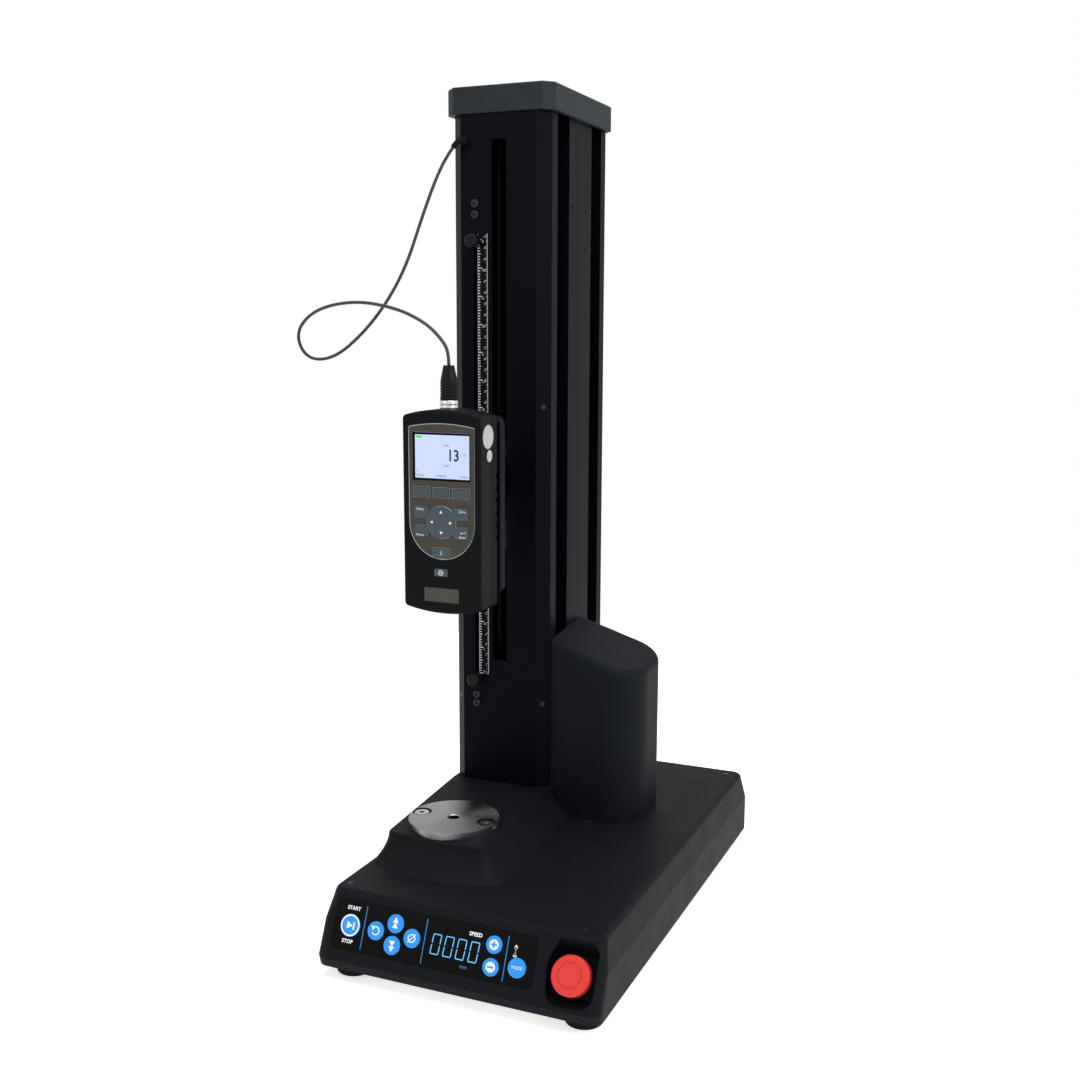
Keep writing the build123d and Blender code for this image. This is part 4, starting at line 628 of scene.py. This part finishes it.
def label_outline():
    """Edge of the label: round at its foot, straight at its sides and arched at its top."""
    inset = rim_width / 2
    reach = label_half - inset
    outline = arc(reach, 180, 360, label_x, label_foot_z)
    for i in range(arch_steps + 1):
        across = label_half * (1 - 2 * i / arch_steps)
        rise = label_arch * (1 - (across / label_half) ** 2)
        outline.append((label_x + min(max(across, -reach), reach), label_side_top + rise - inset))
    return outline


def key_rim(x, z, width, height):
    """Rim round a rectangular key."""
    side = width / 2 + key_rim_gap
    top = height / 2 + key_rim_gap
    corners = [(x - side, z - top), (x + side, z - top), (x + side, z + top), (x - side, z + top)]
    return stroke(corners, key_rim_width, closed=True, thick=rim_thick)


label_place = front(0, label_face_y, 0)
on_gauge("gauge_label_rim", [
    stroke(label_outline(), rim_width, closed=True, thick=rim_thick),
], label_place, label_rim)
key_rims = [key_rim(x, 394.5, 14.3, 7.3) for x in (-81, -62.4, -43.8)]
key_rims.append(key_rim(-62.5, 343.2, 14.7, 7.6))
key_rims.append(stroke(
    arc(pad_rim_radius, x=pad_x, y=pad_z, steps=48), key_rim_width, closed=True, thick=rim_thick))
on_gauge("gauge_key_rims", key_rims, label_place, label_rim)

# What the gauge's display shows, about the middle of its window
screen = front(-61.8, -108.76, 424.6)
small_print = 2.6
on_gauge("screen_figures", [
    words("13", 13.5, 11.0, 1.0, wide=0.85, bold=0.25),
], screen, dark_ink)
on_gauge("screen_words", [
    words("MODE", small_print, -20.5, -16.2),
    words("DISPLAY", small_print, 0, -16.2),
    words("MORE", small_print, 21, -16.2),
    words("C-PK", small_print, 4.5, 9.5),
    words("T-PK", small_print, 4.5, -7.5),
    words("N", 2.8, 21.5, 2),
    words("12", small_print, -23, -12.4),
], screen, soft_ink)
on_gauge("screen_bezel", [bars([
    (0, 19.15, 54, 1.8),
    (0, -19.15, 54, 1.8),
    (-26.0, 0, 2.0, 40.1),
    (26.4, 0, 1.2, 40.1),
])], screen, finishes["overlay_film"])
on_gauge("screen_battery", [bars([(-21.4, 16.4, 5.2, 2.2)])], screen, green_ink)

# Legends of the gauge keys
on_gauge_key("upper_left_legend", "upper_left_key", [words("Units", 3.3, -82.2, 380.0)])
on_gauge_key("lower_left_legend", "lower_left_key", [words("Home", 3.0, -82.4, 358.0)])
on_gauge_key("upper_right_legend", "upper_right_key", [words("Zero", 3.3, -42.4, 379.6)])
on_gauge_key("lower_right_legend", "lower_right_key", [
    words("Enter", 3.0, -42.4, 358.0),
    stroke([(-39.6, 363.0), (-39.6, 361.4), (-43.2, 361.4)], 0.4),
    triangle(0.9, -43.6, 361.4, turn=90),
])
on_gauge_key("info_legend", "info_key", [words("i", 6.4, -62.5, 343.4)])
on_gauge_key("gauge_power_legend", "gauge_power_key", [
    stroke(arc(2.1, x=-63, y=326.4), 0.5, closed=True),
    bars([(-63.6, 326.4, 0.5, 1.9), (-62.4, 326.4, 0.5, 1.9)]),
])
on_gauge_key("navigation_legend", "navigation_pad", [
    triangle(
        1.7,
        pad_x + pad_arrow_reach * math.sin(math.radians(turn)),
        pad_z + pad_arrow_reach * math.cos(math.radians(turn)),
        -turn,
    )
    for turn in (0, 90, 180, 270)
])

# Bare plate at the foot of the gauge
on_gauge("blank_plate", [bars([(-62.5, 307.1, 32.8, 12.1)])], front(0, shell_print_y, 0),
         bare_metal)

# Plug of the gauge: a nickel collar in three steps, a gold ring at its foot and ribs round its grip
plug_place = frame_at((-63, -92, 0), rightward, rearward)
piece("plug_collar", [turned([
    (7.55, 459.5), (7.95, 459.9), (7.95, 462.6), (7.6, 463.0), (7.95, 463.4),
    (7.95, 466.4), (7.7, 466.8), (7.95, 467.2), (7.95, 470.4), (7.2, 471.2),
])], plug_place, "crosshead", collar_metal, smooth=True)
piece("plug_gold_ring", [turned([(7.5, 458.2), (8.2, 458.4), (8.2, 459.5), (7.5, 459.7)])],
      plug_place, "crosshead", gold, smooth=True)
first_rib = 475.0
rib_pitch = 2.4
rib_profile = [(7.05, 0.0), (7.5, 0.5), (7.5, 1.1), (7.05, 1.6)]
piece("plug_ribs", [
    turned([(radius, first_rib + rib_pitch * i + height) for radius, height in rib_profile])
    for i in range(5)
], plug_place, "crosshead", finishes["black_moulding"], smooth=True)

# Blank stickers on the gauge's side
side_face_x = -25.25
on_gauge("side_sticker", [disc(10.0)], frame_at((side_face_x, -95.0, 441.6), rearward, upward),
         sticker)
on_gauge("small_side_sticker", [disc(5.0)], frame_at((side_face_x, -92.5, 425.5), rearward, upward),
         sticker)

# Signal cord
cord_radius = 0.00145
# Blender's box of a curve grows by the radius of its points, so they are small and the bevel is large
cord_point_radius = 0.0001
cord_route = [
    (-0.1115, 0.013, 0.6917), (-0.1182, 0.009, 0.6806), (-0.126, 0.002, 0.6581), (-0.136, -0.005, 0.625),
    (-0.145, -0.013, 0.59), (-0.158, -0.022, 0.559), (-0.179, -0.032, 0.528), (-0.2065, -0.042, 0.503),
    (-0.231, -0.05, 0.502), (-0.2385, -0.057, 0.526), (-0.213, -0.064, 0.547), (-0.167, -0.071, 0.5545),
    (-0.121, -0.079, 0.548), (-0.0885, -0.0855, 0.5355), (-0.0705, -0.09, 0.5215), (-0.063, -0.092, 0.511),
    (-0.063, -0.092, 0.5),
]
cord_data = bpy.data.curves.new("cord", "CURVE")
cord_data.dimensions = "3D"
cord_data.bevel_depth = cord_radius / cord_point_radius
cord_data.bevel_resolution = 6
cord_data.resolution_u = 16
spline = cord_data.splines.new("NURBS")
spline.points.add(len(cord_route) - 1)
for point, place in zip(spline.points, cord_route):
    point.co = (*place, 1)
    point.radius = cord_point_radius
spline.order_u = 3
spline.use_endpoint_u = True
cord_data.materials.append(cord_jacket)
cord = bpy.data.objects.new("signal_cord_line", cord_data)
scene.collection.objects.link(cord)
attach(cord, "frame")
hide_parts("signal_cord")

# Studio, white in view and in reflections and dimmer in the light it gives
level_in_view = 1.0
level_as_light = 0.45
light_aim = Vector((0, 0, 0.35))
floor_radius = 1.1
scene.view_settings.view_transform = "Standard"
world = bpy.data.worlds.new("studio")
scene.world = world
world.use_nodes = True
sky = world.node_tree
background = sky.nodes["Background"]
background.inputs["Color"].default_value = (1, 1, 1, 1)
paths = add(sky, "ShaderNodeLightPath").outputs
seen = paths["Is Camera Ray"]
for kind in ("Is Glossy Ray", "Is Transmission Ray"):
    seen = add(sky, "ShaderNodeMath", {0: seen, 1: paths[kind]}, operation="MAXIMUM").outputs[0]
level = add(sky, "ShaderNodeMapRange", {"Value": seen, "To Min": level_as_light, "To Max": level_in_view})
sky.links.new(level.outputs["Result"], background.inputs["Strength"])


def soft_light(name, place, size, power):
    """A square soft light aimed at the machine."""
    data = bpy.data.lights.new(name, "AREA")
    data.shape = "SQUARE"
    data.size = size
    data.energy = power
    light = bpy.data.objects.new(name, data)
    scene.collection.objects.link(light)
    turn = (Vector(place) - light_aim).to_track_quat("Z", "Y").to_matrix().to_4x4()
    light.matrix_world = Matrix.Translation(place) @ turn


soft_light("top_light", (0.3, -0.2, 2.6), size=2.0, power=45)
soft_light("right_light", (2.4, -0.6, 1.4), size=1.4, power=30)
soft_light("front_light", (-1.4, -2.4, 1.6), size=1.2, power=12)

floor_shape = bmesh.new()
bmesh.ops.create_circle(floor_shape, cap_ends=True, radius=floor_radius, segments=64)
floor_mesh = mesh_from(floor_shape, "floor")
floor_mesh.materials.append(floor_paper)
floor = bpy.data.objects.new("floor", floor_mesh)
scene.collection.objects.link(floor)
